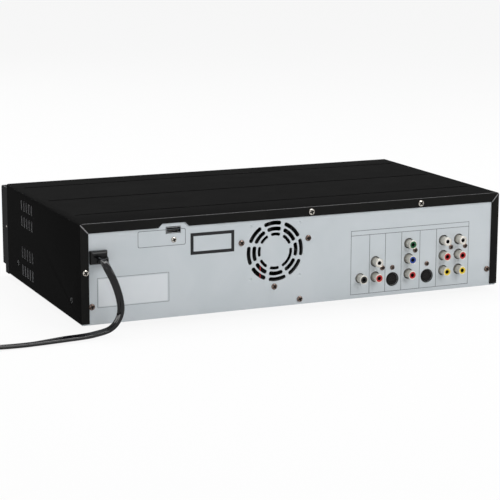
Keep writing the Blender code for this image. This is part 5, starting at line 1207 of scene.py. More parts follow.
class MainsCord(Assembly):
    """The strain relief, the flat twin cord with its coil, its tie and its plug."""

    FREE = (
        (200.6, 133.2, 68.1),
        (200.6, 137.4, 67.4),
        (200.0, 141.4, 65.8),
        (199.0, 144.6, 62.4),
        (197.4, 146.8, 58.4),
        (195.3, 148.0, 53.6),
        (192.9, 148.4, 47.6),
        (190.8, 148.2, 41.6),
        (188.8, 147.6, 34.8),
        (187.6, 147.0, 28.8),
        (187.2, 146.3, 23.4),
        (187.9, 145.7, 18.4),
        (189.8, 145.1, 13.6),
        (192.8, 144.6, 9.4),
        (197.2, 144.4, 6.1),
        (203.0, 145.0, 4.5),
        (210.0, 147.2, 4.0),
        (218.4, 150.2, 3.8),
        (228.5, 151.9, 3.7),
        (241.0, 152.9, 3.6),
        (257.0, 153.4, 2.9),
        (274.0, 153.4, 2.2),
        (292.0, 153.4, 2.3),
        (311.0, 153.4, 3.0),
        (330.0, 153.4, 3.6),
        (338.0, 153.4, 3.7),
    )
    LEANS = (
        (0.0, (-0.95, 0.1, -0.3)),
        (20.0, (-0.9, 0.4, 0.0)),
        (50.0, (-0.7, 0.7, 0.0)),
        (66.0, (-0.35, 0.9, -0.1)),
        (84.0, (-0.1, 0.9, -0.3)),
        (122.0, (0.0, 0.94, -0.34)),
        (150.0, (0.0, 1.0, 0.0)),
        (200.0, (0.0, 1.0, 0.0)),
        (262.0, (0.0, 0.42, 0.91)),
    )
    TIE_ANGLE = radians(205)
    RELIEF = (200.6, 68.4)
    RELIEF_FACE = 123.7
    PLUG_HALF = (9.9, 7.2)
    PLUG_COLLAR = 15.0
    BLADE = (17.0, 6.3, 1.5)
    BLADE_PITCH = 12.7

    def __init__(self, paints: Paintbox, sizes: CordSizes | None = None) -> None:
        """Keeps the sizes and finds the coil's middle.

        Args:
            paints: The paintbox.
            sizes: The cord's sizes, where they aren't the usual ones.
        """
        super().__init__(paints)
        self.sizes = sizes or CordSizes()
        end = Vector(self.FREE[-1])
        out = 2 * self.sizes.solid + self.sizes.gap
        self.middle = Vector((end.x + out, end.y - self.sizes.radius, 0))
        self.turns = 2 * self.sizes.layer_turns + self.sizes.climb_turns

    def make(self) -> None:
        """Makes the cord and all that is on it."""
        points, leans = self.route()
        cord = self.tube(points, leans)
        tie = self.tie()
        plug = self.plug()
        self.keep(cord, "case", VINYL, nodes=("power_cord", "power_cord_coil"))
        self.keep(tie, "case", RELIEF)
        self.relief()

    def route(self) -> tuple[list[Vector], list[Vector]]:
        """The cord's middle line and, at each of its points, the way its wide side lies."""
        sizes = self.sizes
        knots = [Vector(point) for point in self.FREE]
        knots.append(Vector((self.middle.x - sizes.solid, knots[-1].y, sizes.low_layer)))
        free = len(knots)
        ways = []
        count = round(self.turns * sizes.turn_points)
        for i in range(count + 1):
            turn = self.turns * i / count
            radius = sizes.radius - sizes.pitch * (self.turns / 2 - abs(turn - self.turns / 2))
            climb = min(max((turn - sizes.layer_turns) / sizes.climb_turns, 0), 1)
            ease = climb * climb * (3 - 2 * climb)
            angle = pi / 2 - 2 * pi * turn
            way = Vector((cos(angle), sin(angle), 0))
            ways.append(way)
            height = sizes.low_layer + (sizes.high_layer - sizes.low_layer) * ease
            knots.append(self.middle + way * radius + Vector((0, 0, height)))
        for height in ((sizes.high_layer + sizes.plug_middle) / 2, sizes.plug_middle):
            last = knots[-1]
            knots.append(Vector((last.x, last.y - sizes.tail / 2, height)))
            ways.append(ways[-1])
        points, shares = self.smoothed(knots)
        leans, along = [], 0.0
        for i, (point, share) in enumerate(zip(points, shares)):
            along += (point - points[i - 1]).length if i else 0.0
            if share <= free:
                leans.append(self.lean_at(along))
                continue
            k = min(int(share - free), len(ways) - 1)
            way = ways[k].lerp(ways[min(k + 1, len(ways) - 1)], share - free - int(share - free))
            leans.append(way * sin(sizes.lean) + Vector((0, 0, cos(sizes.lean))))
        return points, leans

    def lean_at(self, along: float) -> Vector:
        """The way the wide side lies on the free part.

        Args:
            along: Length from the strain relief.

        Returns:
            The direction.
        """
        for (start, first), (end, second) in zip(self.LEANS, self.LEANS[1:]):
            if along <= end:
                share = max((along - start) / (end - start), 0)
                return Vector(first).lerp(Vector(second), share)
        return Vector(self.LEANS[-1][1])

    def smoothed(self, knots: list[Vector]) -> tuple[list[Vector], list[float]]:
        """Points a step apart on a smooth curve.

        Args:
            knots: The points that the curve goes through.

        Returns:
            The points, and for each the number of the knot that it is at, with its share.
        """
        rows = [2 * knots[0] - knots[1], *knots, 2 * knots[-1] - knots[-2]]
        points, shares, rest = [knots[0].copy()], [0.0], 0.0
        last = knots[0]
        for k, (before, start, end, after) in enumerate(zip(rows, rows[1:], rows[2:], rows[3:])):
            for i in range(1, 17):
                t = i / 16
                bend = 2 * start + (end - before) * t + (2 * before - 5 * start + 4 * end - after) * t * t
                place = (bend + (3 * start - before - 3 * end + after) * t**3) / 2
                rest += (place - last).length
                last = place
                if rest >= self.sizes.step:
                    points.append(place)
                    shares.append(k + t)
                    rest = 0.0
        points.append(knots[-1].copy())
        shares.append(len(knots) - 1.0)
        return points, shares

    def outline(self) -> list[tuple[float, float]]:
        """The cord's section: flat, with crowned faces, round corners and a shallow groove in each face."""
        half, core = self.sizes.wide / 2, self.sizes.thick / 2
        corner = (
            (half, 0.0),
            (half * 0.985, core * 0.3),
            (half * 0.93, core * 0.56),
            (half * 0.84, core * 0.76),
            (half * 0.7, core * 0.9),
            (half * 0.5, core * 0.98),
            (half * 0.26, core * 0.96),
            (0.0, core * 0.84),
        )
        left = [(-x, y) for x, y in corner[-2::-1]]
        upper = [*corner, *left]
        return [*upper, *[(x, -y) for x, y in upper[-2:0:-1]]]

    def tube(self, points: list[Vector], leans: list[Vector]) -> Object:
        """Skins the section along the middle line.

        Args:
            points: The middle line in mm.
            leans: The way the wide side lies at each point.

        Returns:
            The cord.
        """
        mesh = bmesh.new()
        rings = []
        for i, (point, lean) in enumerate(zip(points, leans)):
            ahead = (points[min(i + 1, len(points) - 1)] - points[max(i - 1, 0)]).normalized()
            wide = (lean - ahead * lean.dot(ahead)).normalized()
            thin = ahead.cross(wide)
            rings.append([mesh.verts.new((point + wide * u + thin * v) * MM) for u, v in self.outline()])
        for near, far in zip(rings, rings[1:]):
            for i in range(len(near)):
                j = (i + 1) % len(near)
                mesh.faces.new((near[i], near[j], far[j], far[i]))
        mesh.faces.new(rings[0][::-1])
        mesh.faces.new(rings[-1])
        bmesh.ops.recalc_face_normals(mesh, faces=mesh.faces)
        data = bpy.data.meshes.new("mains_cord")
        mesh.to_mesh(data)
        mesh.free()
        cord = bpy.data.objects.new("mains_cord", data)
        bpy.context.scene.collection.objects.link(cord)
        return Bench.smooth(cord, 70)

    def tie(self) -> Object:
        """The wire tie that holds the coil together, with its twisted ends."""
        sizes = self.sizes
        way = Vector((cos(self.TIE_ANGLE), sin(self.TIE_ANGLE), 0))
        inner = sizes.radius - sizes.pitch * self.turns / 2 - 3.2
        outer = sizes.radius + 3.2
        top = sizes.high_layer + 3.9
        low = 1.5
        rows = ((inner, low + 1), (inner + 2, low), (outer - 2, low), (outer, low + 1), (outer, top - 2))
        rows += ((outer - 3, top), (inner + 3, top), (inner, top - 2), (inner, low + 3), (inner, low + 1.2))
        loop = [self.middle + way * radius + Vector((0, 0, z)) for radius, z in rows]
        ring = Bench.wire("tie_loop", loop, 0.6)
        side = Vector((-way.y, way.x, 0))
        ends = []
        for sign in (-1, 1):
            knots = []
            for i in range(9):
                turn = pi * i / 2 + (0 if sign > 0 else pi)
                core = self.middle + way * (inner + 9 + 1.6 * i) + Vector((0, 0, top + 0.8 + 0.14 * i))
                knots.append(core + side * (0.7 * cos(turn)) + Vector((0, 0, 0.5 * sin(turn))))
            ends.append(Bench.wire(f"tie_end_{sign}", knots, 0.55))
        return Bench.joined("cord_tie", [ring, *ends])

    def plug(self) -> Object:
        """The moulded plug with its grip ribs and two blades."""
        low, high = (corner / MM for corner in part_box("power_plug"))
        x = (low.x + high.x) / 2
        z = self.sizes.plug_middle
        half_wide, half_high = self.PLUG_HALF
        blade_long, blade_wide, blade_thick = self.BLADE
        nose, back = low.y + blade_long, high.y
        shoulder = back - self.PLUG_COLLAR
        body = Bench.drawn(
            "plug_body",
            (x - half_wide, nose, z - half_high),
            (x + half_wide, nose + 5, z + half_high),
            (
                (shoulder - nose - 5 - 4, 0.98, 0.98, 0, 0),
                (4.0, 0.82, 0.86, 0, 0),
                (3.4, 0.62, 0.72, 0, 0),
                (0.0, 0.86, 0.88, 0, 0),
                (11.3, 0.8, 0.74, 0, 0),
            ),
        )
        Bench.round_edges(body, lambda a, b: abs((b - a).normalized().y) > 0.6, 1.9, 4)
        ribs = []
        for i in range(5):
            y = shoulder + 2.4 + 2.4 * i
            size = 4.6 - 0.22 * i
            low_rib, high_rib = (x - size, y, z - size * 0.9), (x + size, y + 1.2, z + size * 0.9)
            ribs.append(Bench.block(f"rib_{i}", low_rib, high_rib))
        for side in (-1, 1):
            for i in range(4):
                y = nose + 6 + 2.6 * i
                face = z + side * 7.0
                ribs.append(
                    Bench.block(f"grip_{side}_{i}", (x - 6.5, y, face - 0.3), (x + 6.5, y + 1.2, face + 0.3))
                )
        body = Bench.joined("plug_mould", [body, *[Bench.soften(rib, 0.3) for rib in ribs]])
        self.keep(Bench.smooth(body), "case", VINYL, nodes=("power_plug",))
        blades = []
        for side in (-1, 1):
            bx = x + side * self.BLADE_PITCH / 2
            base = (bx - blade_thick / 2, low.y, z - blade_wide / 2)
            tip = (bx + blade_thick / 2, nose + 1, z + blade_wide / 2)
            blade = Bench.block(f"blade_{side}", base, tip)
            Bench.round_edges(
                blade, lambda a, b: max(a.y, b.y) < low.y + 0.1 and abs((b - a).normalized().x) > 0.9, 1.4, 3
            )
            hole = Bench.turned(
                "blade_hole", (bx, low.y + 3.6, z), ((bx - 2, 1.5), (bx + 2, 1.5)), 20, Axis.X
            )
            blades.append(Bench.soften(Bench.cut(blade, [hole]), 0.12))
        pins = Bench.joined("plug_blades", blades)
        self.keep(pins, "case", SCREW)
        return body

    def relief(self) -> None:
        """The glossy clamp that grips the cord: its block, its wedge, its nose and its shank."""
        x, z = self.RELIEF
        face = self.RELIEF_FACE
        block = Bench.drawn(
            "relief_block",
            (x - 8.2, face, z - 6.2),
            (x + 8.2, face + 3.0, z + 6.2),
            ((1.4, 0.94, 0.9, 0, 0), (0.9, 0.8, 0.78, 0, -0.4)),
        )
        Bench.soften(block, 0.5, 3)
        wedge = Bench.drawn(
            "relief_wedge",
            (x - 7.6, face + 2.0, z - 5.6),
            (x + 2.6, face + 4.0, z + 1.6),
            ((2.2, 0.84, 0.86, -0.9, -0.3), (2.5, 0.76, 0.86, -0.9, -0.4)),
        )
        Bench.soften(wedge, 0.6, 3)
        ridge = Bench.block(
            "relief_ridge",
            (x - 5.5, face + 3.6, z + 1.4),
            (x + 5.5, face + 5.2, z + 2.8),
            (0, radians(14), 0),
        )
        Bench.soften(ridge, 0.5, 3)
        rivet = Bench.turned("relief_rivet", (x + 4.6, 0, z + 1.5), ((face + 4, 1.5), (face + 5.5, 1.2)), 20)
        Bench.soften(rivet, 0.3, 2)
        shank = Bench.drawn(
            "relief_shank",
            (x - 6.6, 110.7, z - 3.4),
            (x + 6.6, 116, z + 3.4),
            ((6.2, 1.05, 1.4, 0, 0), (1.6, 1, 1, 0, 0)),
        )
        pieces = [block, wedge, ridge, rivet, Bench.soften(shank, 0.4)]
        self.keep(Bench.joined("relief_clamp", pieces), "case", RELIEF, nodes=("strain_relief",))


# Screws


@dataclass
class ScrewPlace:
    """Where one screw head sits and how it looks.

    Attributes:
        name: The screw's name.
        place: Middle of its seat.
        facing: The way that it looks.
        radius: Radius of its head.
        finish: Its finish.
        turn: Turn of its cross in radians.
    """

    name: str
    place: tuple[float, float, float]
    facing: tuple[float, float, float] = (0, 1, 0)
    radius: float = 2.9
    finish: Finish = DARK_SCREW
    turn: float = 0.3


class Screws(Assembly):
    """All the cross-head screws: one head is modelled, and the rest are its copies."""

    PLACES = (
        ScrewPlace("screw_side_lip", (212.8, LIP_FACE, 54.8), radius=2.9, finish=SCREW, turn=0.5),
        ScrewPlace("screw_top_lip_middle", (-11.2, LIP_FACE, 94.7), radius=3.1, finish=SCREW, turn=0.2),
        ScrewPlace("screw_top_lip_left", (-128.8, LIP_FACE, 94.7), radius=3.1, finish=SCREW, turn=0.9),
        ScrewPlace("screw_panel_right", (206.9, PANEL_FACE, 22.8)),
        ScrewPlace("screw_hdmi", (127.4, PANEL_FACE, 78.5), radius=2.6, finish=SCREW),
        ScrewPlace("screw_plate", (60.1, PANEL_FACE, 70.0), turn=0.7),
        ScrewPlace("screw_fan_side", (-8.7, PANEL_FACE, 69.5), turn=0.1),
        ScrewPlace("screw_fan_low", (26.4, PANEL_FACE, 25.6), turn=0.6),
        ScrewPlace("screw_panel_low", (-0.2, PANEL_FACE, 11.1), turn=0.4),
        ScrewPlace("screw_panel_left", (-206.2, PANEL_FACE, 22.8), turn=0.8),
        ScrewPlace("screw_jack_1", (-88.6, PANEL_FACE, 33.8), radius=2.5),
        ScrewPlace("screw_jack_2", (-99.5, PANEL_FACE, 33.3), radius=2.4, turn=0.8),
        ScrewPlace("screw_jack_3", (-124.5, PANEL_FACE, 48.4), radius=2.5, turn=0.1),
        ScrewPlace("screw_jack_4", (-137.7, PANEL_FACE, 34.0), radius=2.4, turn=0.5),
        ScrewPlace("screw_jack_5", (-164.6, PANEL_FACE, 48.3), radius=2.4, turn=0.9),
        ScrewPlace("screw_jack_6", (-180.6, PANEL_FACE, 48.3), radius=2.4, turn=0.2),
        # The side screw heads take the cover's lighter edge paint, a painted highlight on black heads.
        ScrewPlace("screw_right_rear", (216.1, *SIDE_SCREWS[0]), (1, 0, 0), 2.45, COVER_EDGE_HIGHLIGHT),
        ScrewPlace("screw_right_front", (216.1, *SIDE_SCREWS[1]), (1, 0, 0), 2.45, COVER_EDGE_HIGHLIGHT, 0.7),
        ScrewPlace("screw_left_rear", (-216.1, *SIDE_SCREWS[0]), (-1, 0, 0), 2.45, COVER_EDGE_HIGHLIGHT, 0.5),
        ScrewPlace("screw_left_front", (-216.1, *SIDE_SCREWS[1]), (-1, 0, 0), 2.45, COVER_EDGE_HIGHLIGHT, 0.1),
        ScrewPlace("screw_base_1", (-150, -60, 6), (0, 0, -1), 2.9, SCREW),
        ScrewPlace("screw_base_2", (150, -60, 6), (0, 0, -1), 2.9, SCREW),
        ScrewPlace("screw_base_3", (-150, 100, 6), (0, 0, -1), 2.9, SCREW),
        ScrewPlace("screw_base_4", (150, 100, 6), (0, 0, -1), 2.9, SCREW),
        ScrewPlace("screw_base_5", (0, -60, 6), (0, 0, -1), 2.9, SCREW),
        ScrewPlace("screw_base_6", (0, 100, 6), (0, 0, -1), 2.9, SCREW),
    )

    def head(self) -> Object:
        """One pan head of radius 1 mm with its cross recess, looking along Y from the origin; the recess is
        painted black as painted shade.
        """
        profile = ((-0.15, 0.96), (0.0, 1.0), (0.16, 1.0), (0.34, 0.93), (0.47, 0.72), (0.53, 0.42))
        head = Bench.turned("screw_master", (0, 0, 0), profile, 28)
        cross = [
            Bench.block("slot_long", (-0.7, 0.05, -0.23), (0.7, 0.8, 0.23)),
            Bench.block("slot_tall", (-0.23, 0.05, -0.7), (0.23, 0.8, 0.7)),
        ]
        # The recess takes the black plastic in slot 1: painted shade in the cross.
        self.paints.dress(head, SCREW, JACK)
        for cutter in cross:
            self.paints.dress(cutter, SCREW, JACK)
            Bench.paint(cutter, 1, lambda place, way: True)
            Bench.cut(head, [cutter])
        return Bench.soften(head, 0.04, 1)

    def make(self) -> None:
        """Puts a head at each place."""
        master = self.head()
        for spot in self.PLACES:
            facing = Vector(spot.facing)
            turn = Vector((0, 1, 0)).rotation_difference(facing).to_matrix().to_4x4()
            spin = Matrix.Rotation(spot.turn, 4, "Y")
            size = Matrix.Scale(spot.radius, 4)
            screw = Bench.copied(master, spot.name, spot.place, turn @ spin @ size)
            screw.data.materials[0] = self.paints.material(spot.finish)
            self.keep(screw, "case", spot.finish, painted=True)
        bpy.data.objects.remove(master)


# Case


class Cover(Assembly):
    """The folded top cover with rounded folds and mitred rear corners."""

    FOLD = 0.6
    MITRE = radians(41.6)
    WELL = (3.2, 1.45)

    def make(self) -> None:
        """Refines the cover and cuts its two mitre seams."""
        cover = Bench.refined("top_cover", "folded_cover")
        # Slots 1 to 3 are lighter copies of the black paint: painted highlights on edges, seams and vent
        # walls, and painted light on the rear lips.
        self.paints.dress(cover, COVER, COVER_EDGE_HIGHLIGHT, SEAM_HIGHLIGHT, LIT_LIP)
        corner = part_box("top_cover")[1] / MM
        rear, top, side = corner.y, corner.z, corner.x

        def fold(first: Vector, second: Vector) -> bool:
            """True on the outer folds of the rear lips."""
            if min(first.y, second.y) < rear - 0.05:
                return False
            on_top = min(first.z, second.z) > top - 2.1
            on_side = min(abs(first.x), abs(second.x)) > side - 0.1
            return on_top or on_side

        Bench.round_edges(cover, fold, self.FOLD, 3)
        seams = []
        for sign in (-1, 1):
            x, z = sign * (side - 4.1), top - 4.6
            low, high = (x - 0.5, rear - 0.3, z - 6.1), (x + 0.5, rear + 0.5, z + 5.6)
            seams.append(Bench.block(f"seam_{sign}", low, high, (0, sign * self.MITRE, 0)))
            self.paints.dress(seams[-1], COVER, COVER_EDGE_HIGHLIGHT, SEAM_HIGHLIGHT, LIT_LIP)
            # The seam's walls take slot 2, a bright painted highlight.
            Bench.paint(seams[-1], 2, lambda place, way: True)
        for y, z in SIDE_SCREWS:
            radius, depth = self.WELL
            for reach in ((side - depth, side + 1), (-side - 1, depth - side)):
                seams.append(Bench.turned("well", (0, y, z), [(x, radius) for x in reach], 28, Axis.X))
        Bench.cut(cover, seams)
        # The broken edges take slot 1, the lighter painted highlight.
        Bench.soften(cover, 0.2, 2, 30, edge=1)
        # The faces of the rear fold that look up and back take the same painted highlight.
        Bench.paint(
            cover,
            1,
            lambda place, way: min(way.y, way.z) > 0.1 and place.z > top - 1 and abs(place.x) < side - 2,
        )
        # The vent slots' walls that look back or up take slot 2, the bright painted highlight.
        Bench.paint(
            cover,
            2,
            lambda place, way: max(way.y, way.z) > 0.9
            and side - 1.05 < abs(place.x) < side - 0.1
            and place.y < rear - 20
            and place.z < 96,
        )
        # The lips' rear faces take slot 3, the lighter lit copy of the paint.
        Bench.paint(cover, 3, lambda place, way: way.y > 0.9 and place.y > rear - 0.1)
        self.keep(cover, "case", COVER, nodes=("top_cover",), painted=True)


@dataclass(frozen=True)
class SlotRing:
    """One ring of the fan's grille, with its angles in degrees clockwise from the top.

    Attributes:
        radius: Radius of its middle line.
        wide: Width of its slots.
        turn: Middle of its first slot.
        span: Length of a slot.
        late: How much later the third slot starts.
    """

    radius: float
    wide: float
    turn: float
    span: float
    late: float


class RearPanel(Assembly):
    """The rear panel with its rounded fan slots, jack holes, printed frames, label and plate."""

    FAN = (25.7, 59.6)
    RINGS = (
        SlotRing(16.3, 3.0, 1.9, 33.5, 8),
        SlotRing(21.5, 3.9, -2.6, 38.0, 4),
        SlotRing(27.1, 3.9, -5.4, 37.5, 3),
    )
    ROUND_HOLES = (
        *[(-64.4, 25.6, 4.9)],
        *[(-81.0, z, 5.2) for z in (25.6, 40.7)],
        *[(x, z, 5.2) for x in (-117.4, -156.1, -173.2) for z in (25.6, 40.7, 55.8)],
        *[(x, 21.6, 6.9) for x in (-99.8, -138.0)],
    )

    def slot(self, ring: SlotRing, first: float, last: float) -> Object:
        """A cutter for one slot of the grille: an arc with round ends.

        Args:
            ring: The ring that it is on.
            first: Angle at which it starts, clockwise from the top, in degrees.
            last: Angle at which it ends.

        Returns:
            The cutter.
        """
        x, z = self.FAN
        start, span = radians(90 + first), radians(last - first)
        Bench.clear()
        place = Vector((x + ring.radius, 123.1, z)) * MM
        bpy.ops.mesh.primitive_plane_add(size=ring.wide * MM, location=place)
        bpy.ops.transform.resize(value=(1, 4.2 / ring.wide, 1))
        arc = Bench.settle("arc")
        centre = Vector((x, 123.1, z)) * MM
        middle = Matrix.Translation(centre)
        arc.data.transform(middle @ Matrix.Rotation(-start, 4, "Y") @ middle.inverted())
        bpy.ops.object.mode_set(mode="EDIT")
        bpy.ops.mesh.select_all(action="SELECT")
        steps = max(round((last - first) / 4.5), 3)
        bpy.ops.mesh.spin(steps=steps, angle=span, center=centre, axis=(0, 1, 0))
        bpy.ops.mesh.select_all(action="SELECT")
        bpy.ops.mesh.remove_doubles(threshold=0.001 * MM)
        bpy.ops.mesh.normals_make_consistent(inside=False)
        bpy.ops.object.mode_set(mode="OBJECT")
        ends = [Vector((cos(a), 0, sin(a))) for a in (start, start + span)]

        def at_end(near: Vector, far: Vector) -> bool:
            """True on the four corners of the arc's two ends."""
            if abs((far - near).normalized().y) < 0.99:
                return False
            way = Vector((near.x - x, 0, near.z - z)).normalized()
            return any(way.dot(end) > 0.99995 for end in ends)

        Bench.round_edges(arc, at_end, ring.wide * 0.47, 4)
        return arc

    def grille(self) -> list[Object]:
        """The cutters of all the slots; the inner ring has one long slot where two run together."""
        cutters = []
        for ring in self.RINGS:
            half = ring.span / 2
            for i in range(8):
                middle = ring.turn + 45 * i
                if ring is self.RINGS[0] and i == 3:
                    continue
                first = middle - half + (ring.late if i == 2 else 0)
                last = middle + half + (5 if i == 1 else 0) + (45 if ring is self.RINGS[0] and i == 2 else 0)
                cutters.append(self.slot(ring, first, last))
        return cutters

    def make(self) -> None:
        """Makes the panel and all that is printed or stuck on it."""
        low, high = (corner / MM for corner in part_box("rear_panel"))
        panel = Bench.block("panel", low, high)
        holes = [
            Bench.turned(f"hole_{i}", (x, 0, z), ((121, radius), (125, radius)), 32)
            for i, (x, z, radius) in enumerate(self.ROUND_HOLES)
        ]
        holes.append(Bench.block("hdmi_hole", (120.2, 121, 84.4), (135.2, 125, 91)))
        holes.append(Bench.block("relief_hole", (193.3, 121, 63.0), (207.9, 125, 73.8)))
        Bench.cut(panel, holes)
        Bench.cut(panel, [*self.grille(), *self.dimples()])
        panel.name = "slotted_panel"
        self.paints.dress(panel, REAR, REAR_EDGE_HIGHLIGHT)
        # Its broken edges take slot 1, the lighter painted highlight.
        Bench.soften(panel, 0.14, 1, 50, edge=1)
        self.keep(panel, "case", REAR, nodes=("rear_panel",), painted=True)
        self.frames()
        self.label()
        self.plate()

    def dimples(self) -> list[Object]:
        """The cutters of the four pressed marks round the fan."""
        x, z = self.FAN
        profile = ((122.85, 0.4), (123.0, 0.9), (123.4, 1.5), (123.8, 1.8))
        places = ((-25.4, -25), (24.8, -25), (-25.4, 25.4), (24.8, 25.4))
        return [
            Bench.turned(f"dimple_{i}", (x + u, 0, z + v), profile, 20) for i, (u, v) in enumerate(places)
        ]

    @staticmethod
    def strip(low: Point, high: Point, rise: float = 0.05) -> Object:
        """A thin printed strip on the panel.

        Args:
            low: Its lowest corner in X and Z.
            high: Its highest corner.
            rise: How far it stands out.

        Returns:
            The strip.
        """
        return Bench.block(
            "strip", (low[0], PANEL_FACE - SUNK, low[1]), (high[0], PANEL_FACE + rise, high[1])
        )

    def box_lines(self, low: Point, high: Point, wide: float) -> list[Object]:
        """The four strips of a printed box.

        Args:
            low: The box's lowest corner in X and Z.
            high: Its highest corner.
            wide: Width of a strip.

        Returns:
            The strips.
        """
        (x0, z0), (x1, z1) = low, high
        return [
            self.strip((x0, z0), (x1, z0 + wide)),
            self.strip((x0, z1 - wide), (x1, z1)),
            self.strip((x0, z0 + wide), (x0 + wide, z1 - wide)),
            self.strip((x1 - wide, z0 + wide), (x1, z1 - wide)),
        ]

    def rounded_frame(self, low: Point, high: Point, radius: float, wide: float) -> Object:
        """A printed frame with rounded corners.

        Args:
            low: Its lowest corner in X and Z.
            high: Its highest corner.
            radius: Radius of its corners.
            wide: Width of its line.

        Returns:
            The frame.
        """
        frame = self.strip(low, high)
        core = Bench.block("core", (low[0] + wide, 123, low[1] + wide), (high[0] - wide, 124, high[1] - wide))
        for plate, bend in ((frame, radius), (core, radius - wide / 2)):
            Bench.round_edges(plate, lambda a, b: abs((b - a).normalized().y) > 0.9, bend, 5)
        return Bench.cut(frame, [core])

    def frames(self) -> None:
        """The printed frames round the jacks, the HDMI connector and the label."""
        line = 0.45
        strips = self.box_lines((-184.6, 9.7), (-54.2, 72.4), line)
        strips.append(self.strip((-184.6, 67.4), (-54.2, 67.4 + line)))
        for x in (-74.4, -91.6, -109.3, -129.6, -148.0):
            strips.append(self.strip((x - line / 2, 9.7), (x + line / 2, 67.4)))
        strips.append(self.rounded_frame((115.8, 73.2), (162.3, 88.5), 1.6, line))
        strips.append(self.rounded_frame((132.3, 21.3), (201.5, 48.8), 0.5, 0.35))
        self.keep(Bench.joined("panel_frames", strips), "case", PRINT)

    def label(self) -> None:
        """The blank white label with a plain inner field."""
        label = Bench.block("blank_label", (134, PANEL_FACE - SUNK, 22.5), (200, PANEL_FACE + 0.08, 47.5))
        Bench.round_edges(label, lambda a, b: abs((b - a).normalized().y) > 0.9, 0.8, 3)
        Bench.choose(label, lambda place, way: way.y > 0.9)
        bpy.ops.mesh.inset(thickness=0.7 * MM, depth=0)
        bpy.ops.mesh.inset(thickness=0.12 * MM, depth=-0.03 * MM)
        bpy.ops.object.mode_set(mode="OBJECT")
        self.keep(label, "case", LABEL)

    def plate(self) -> None:
        """The black-framed plate beside the fan, with a bare field."""
        low, high = (67.4, PANEL_FACE - SUNK, 62.8), (111.0, PANEL_FACE + 0.16, 83.1)
        frame = Bench.block("plate_frame", low, high)
        Bench.choose(frame, lambda place, way: way.y > 0.9)
        bpy.ops.mesh.inset(thickness=2.9 * MM, depth=0)
        bpy.ops.mesh.inset(thickness=0.05 * MM, depth=-0.1 * MM)
        bpy.ops.object.mode_set(mode="OBJECT")
        Bench.soften(frame, 0.04, 1)
        self.keep(frame, "case", PRINT_BLACK)
        low, high = (70.4, PANEL_FACE, 65.8), (108.0, PANEL_FACE + 0.1, 80.1)
        self.keep(Bench.soften(Bench.block("plate_field", low, high), 0.03, 1), "case", REAR)


# Jacks


@dataclass
class JackColumn:
    """One column of phono jacks.

    Attributes:
        node: The CAD node that it stands for.
        x: Its place across the panel.
        colours: Colours of its inserts, from the lowest up.
    """

    node: str
    x: float
    colours: tuple[str, ...]


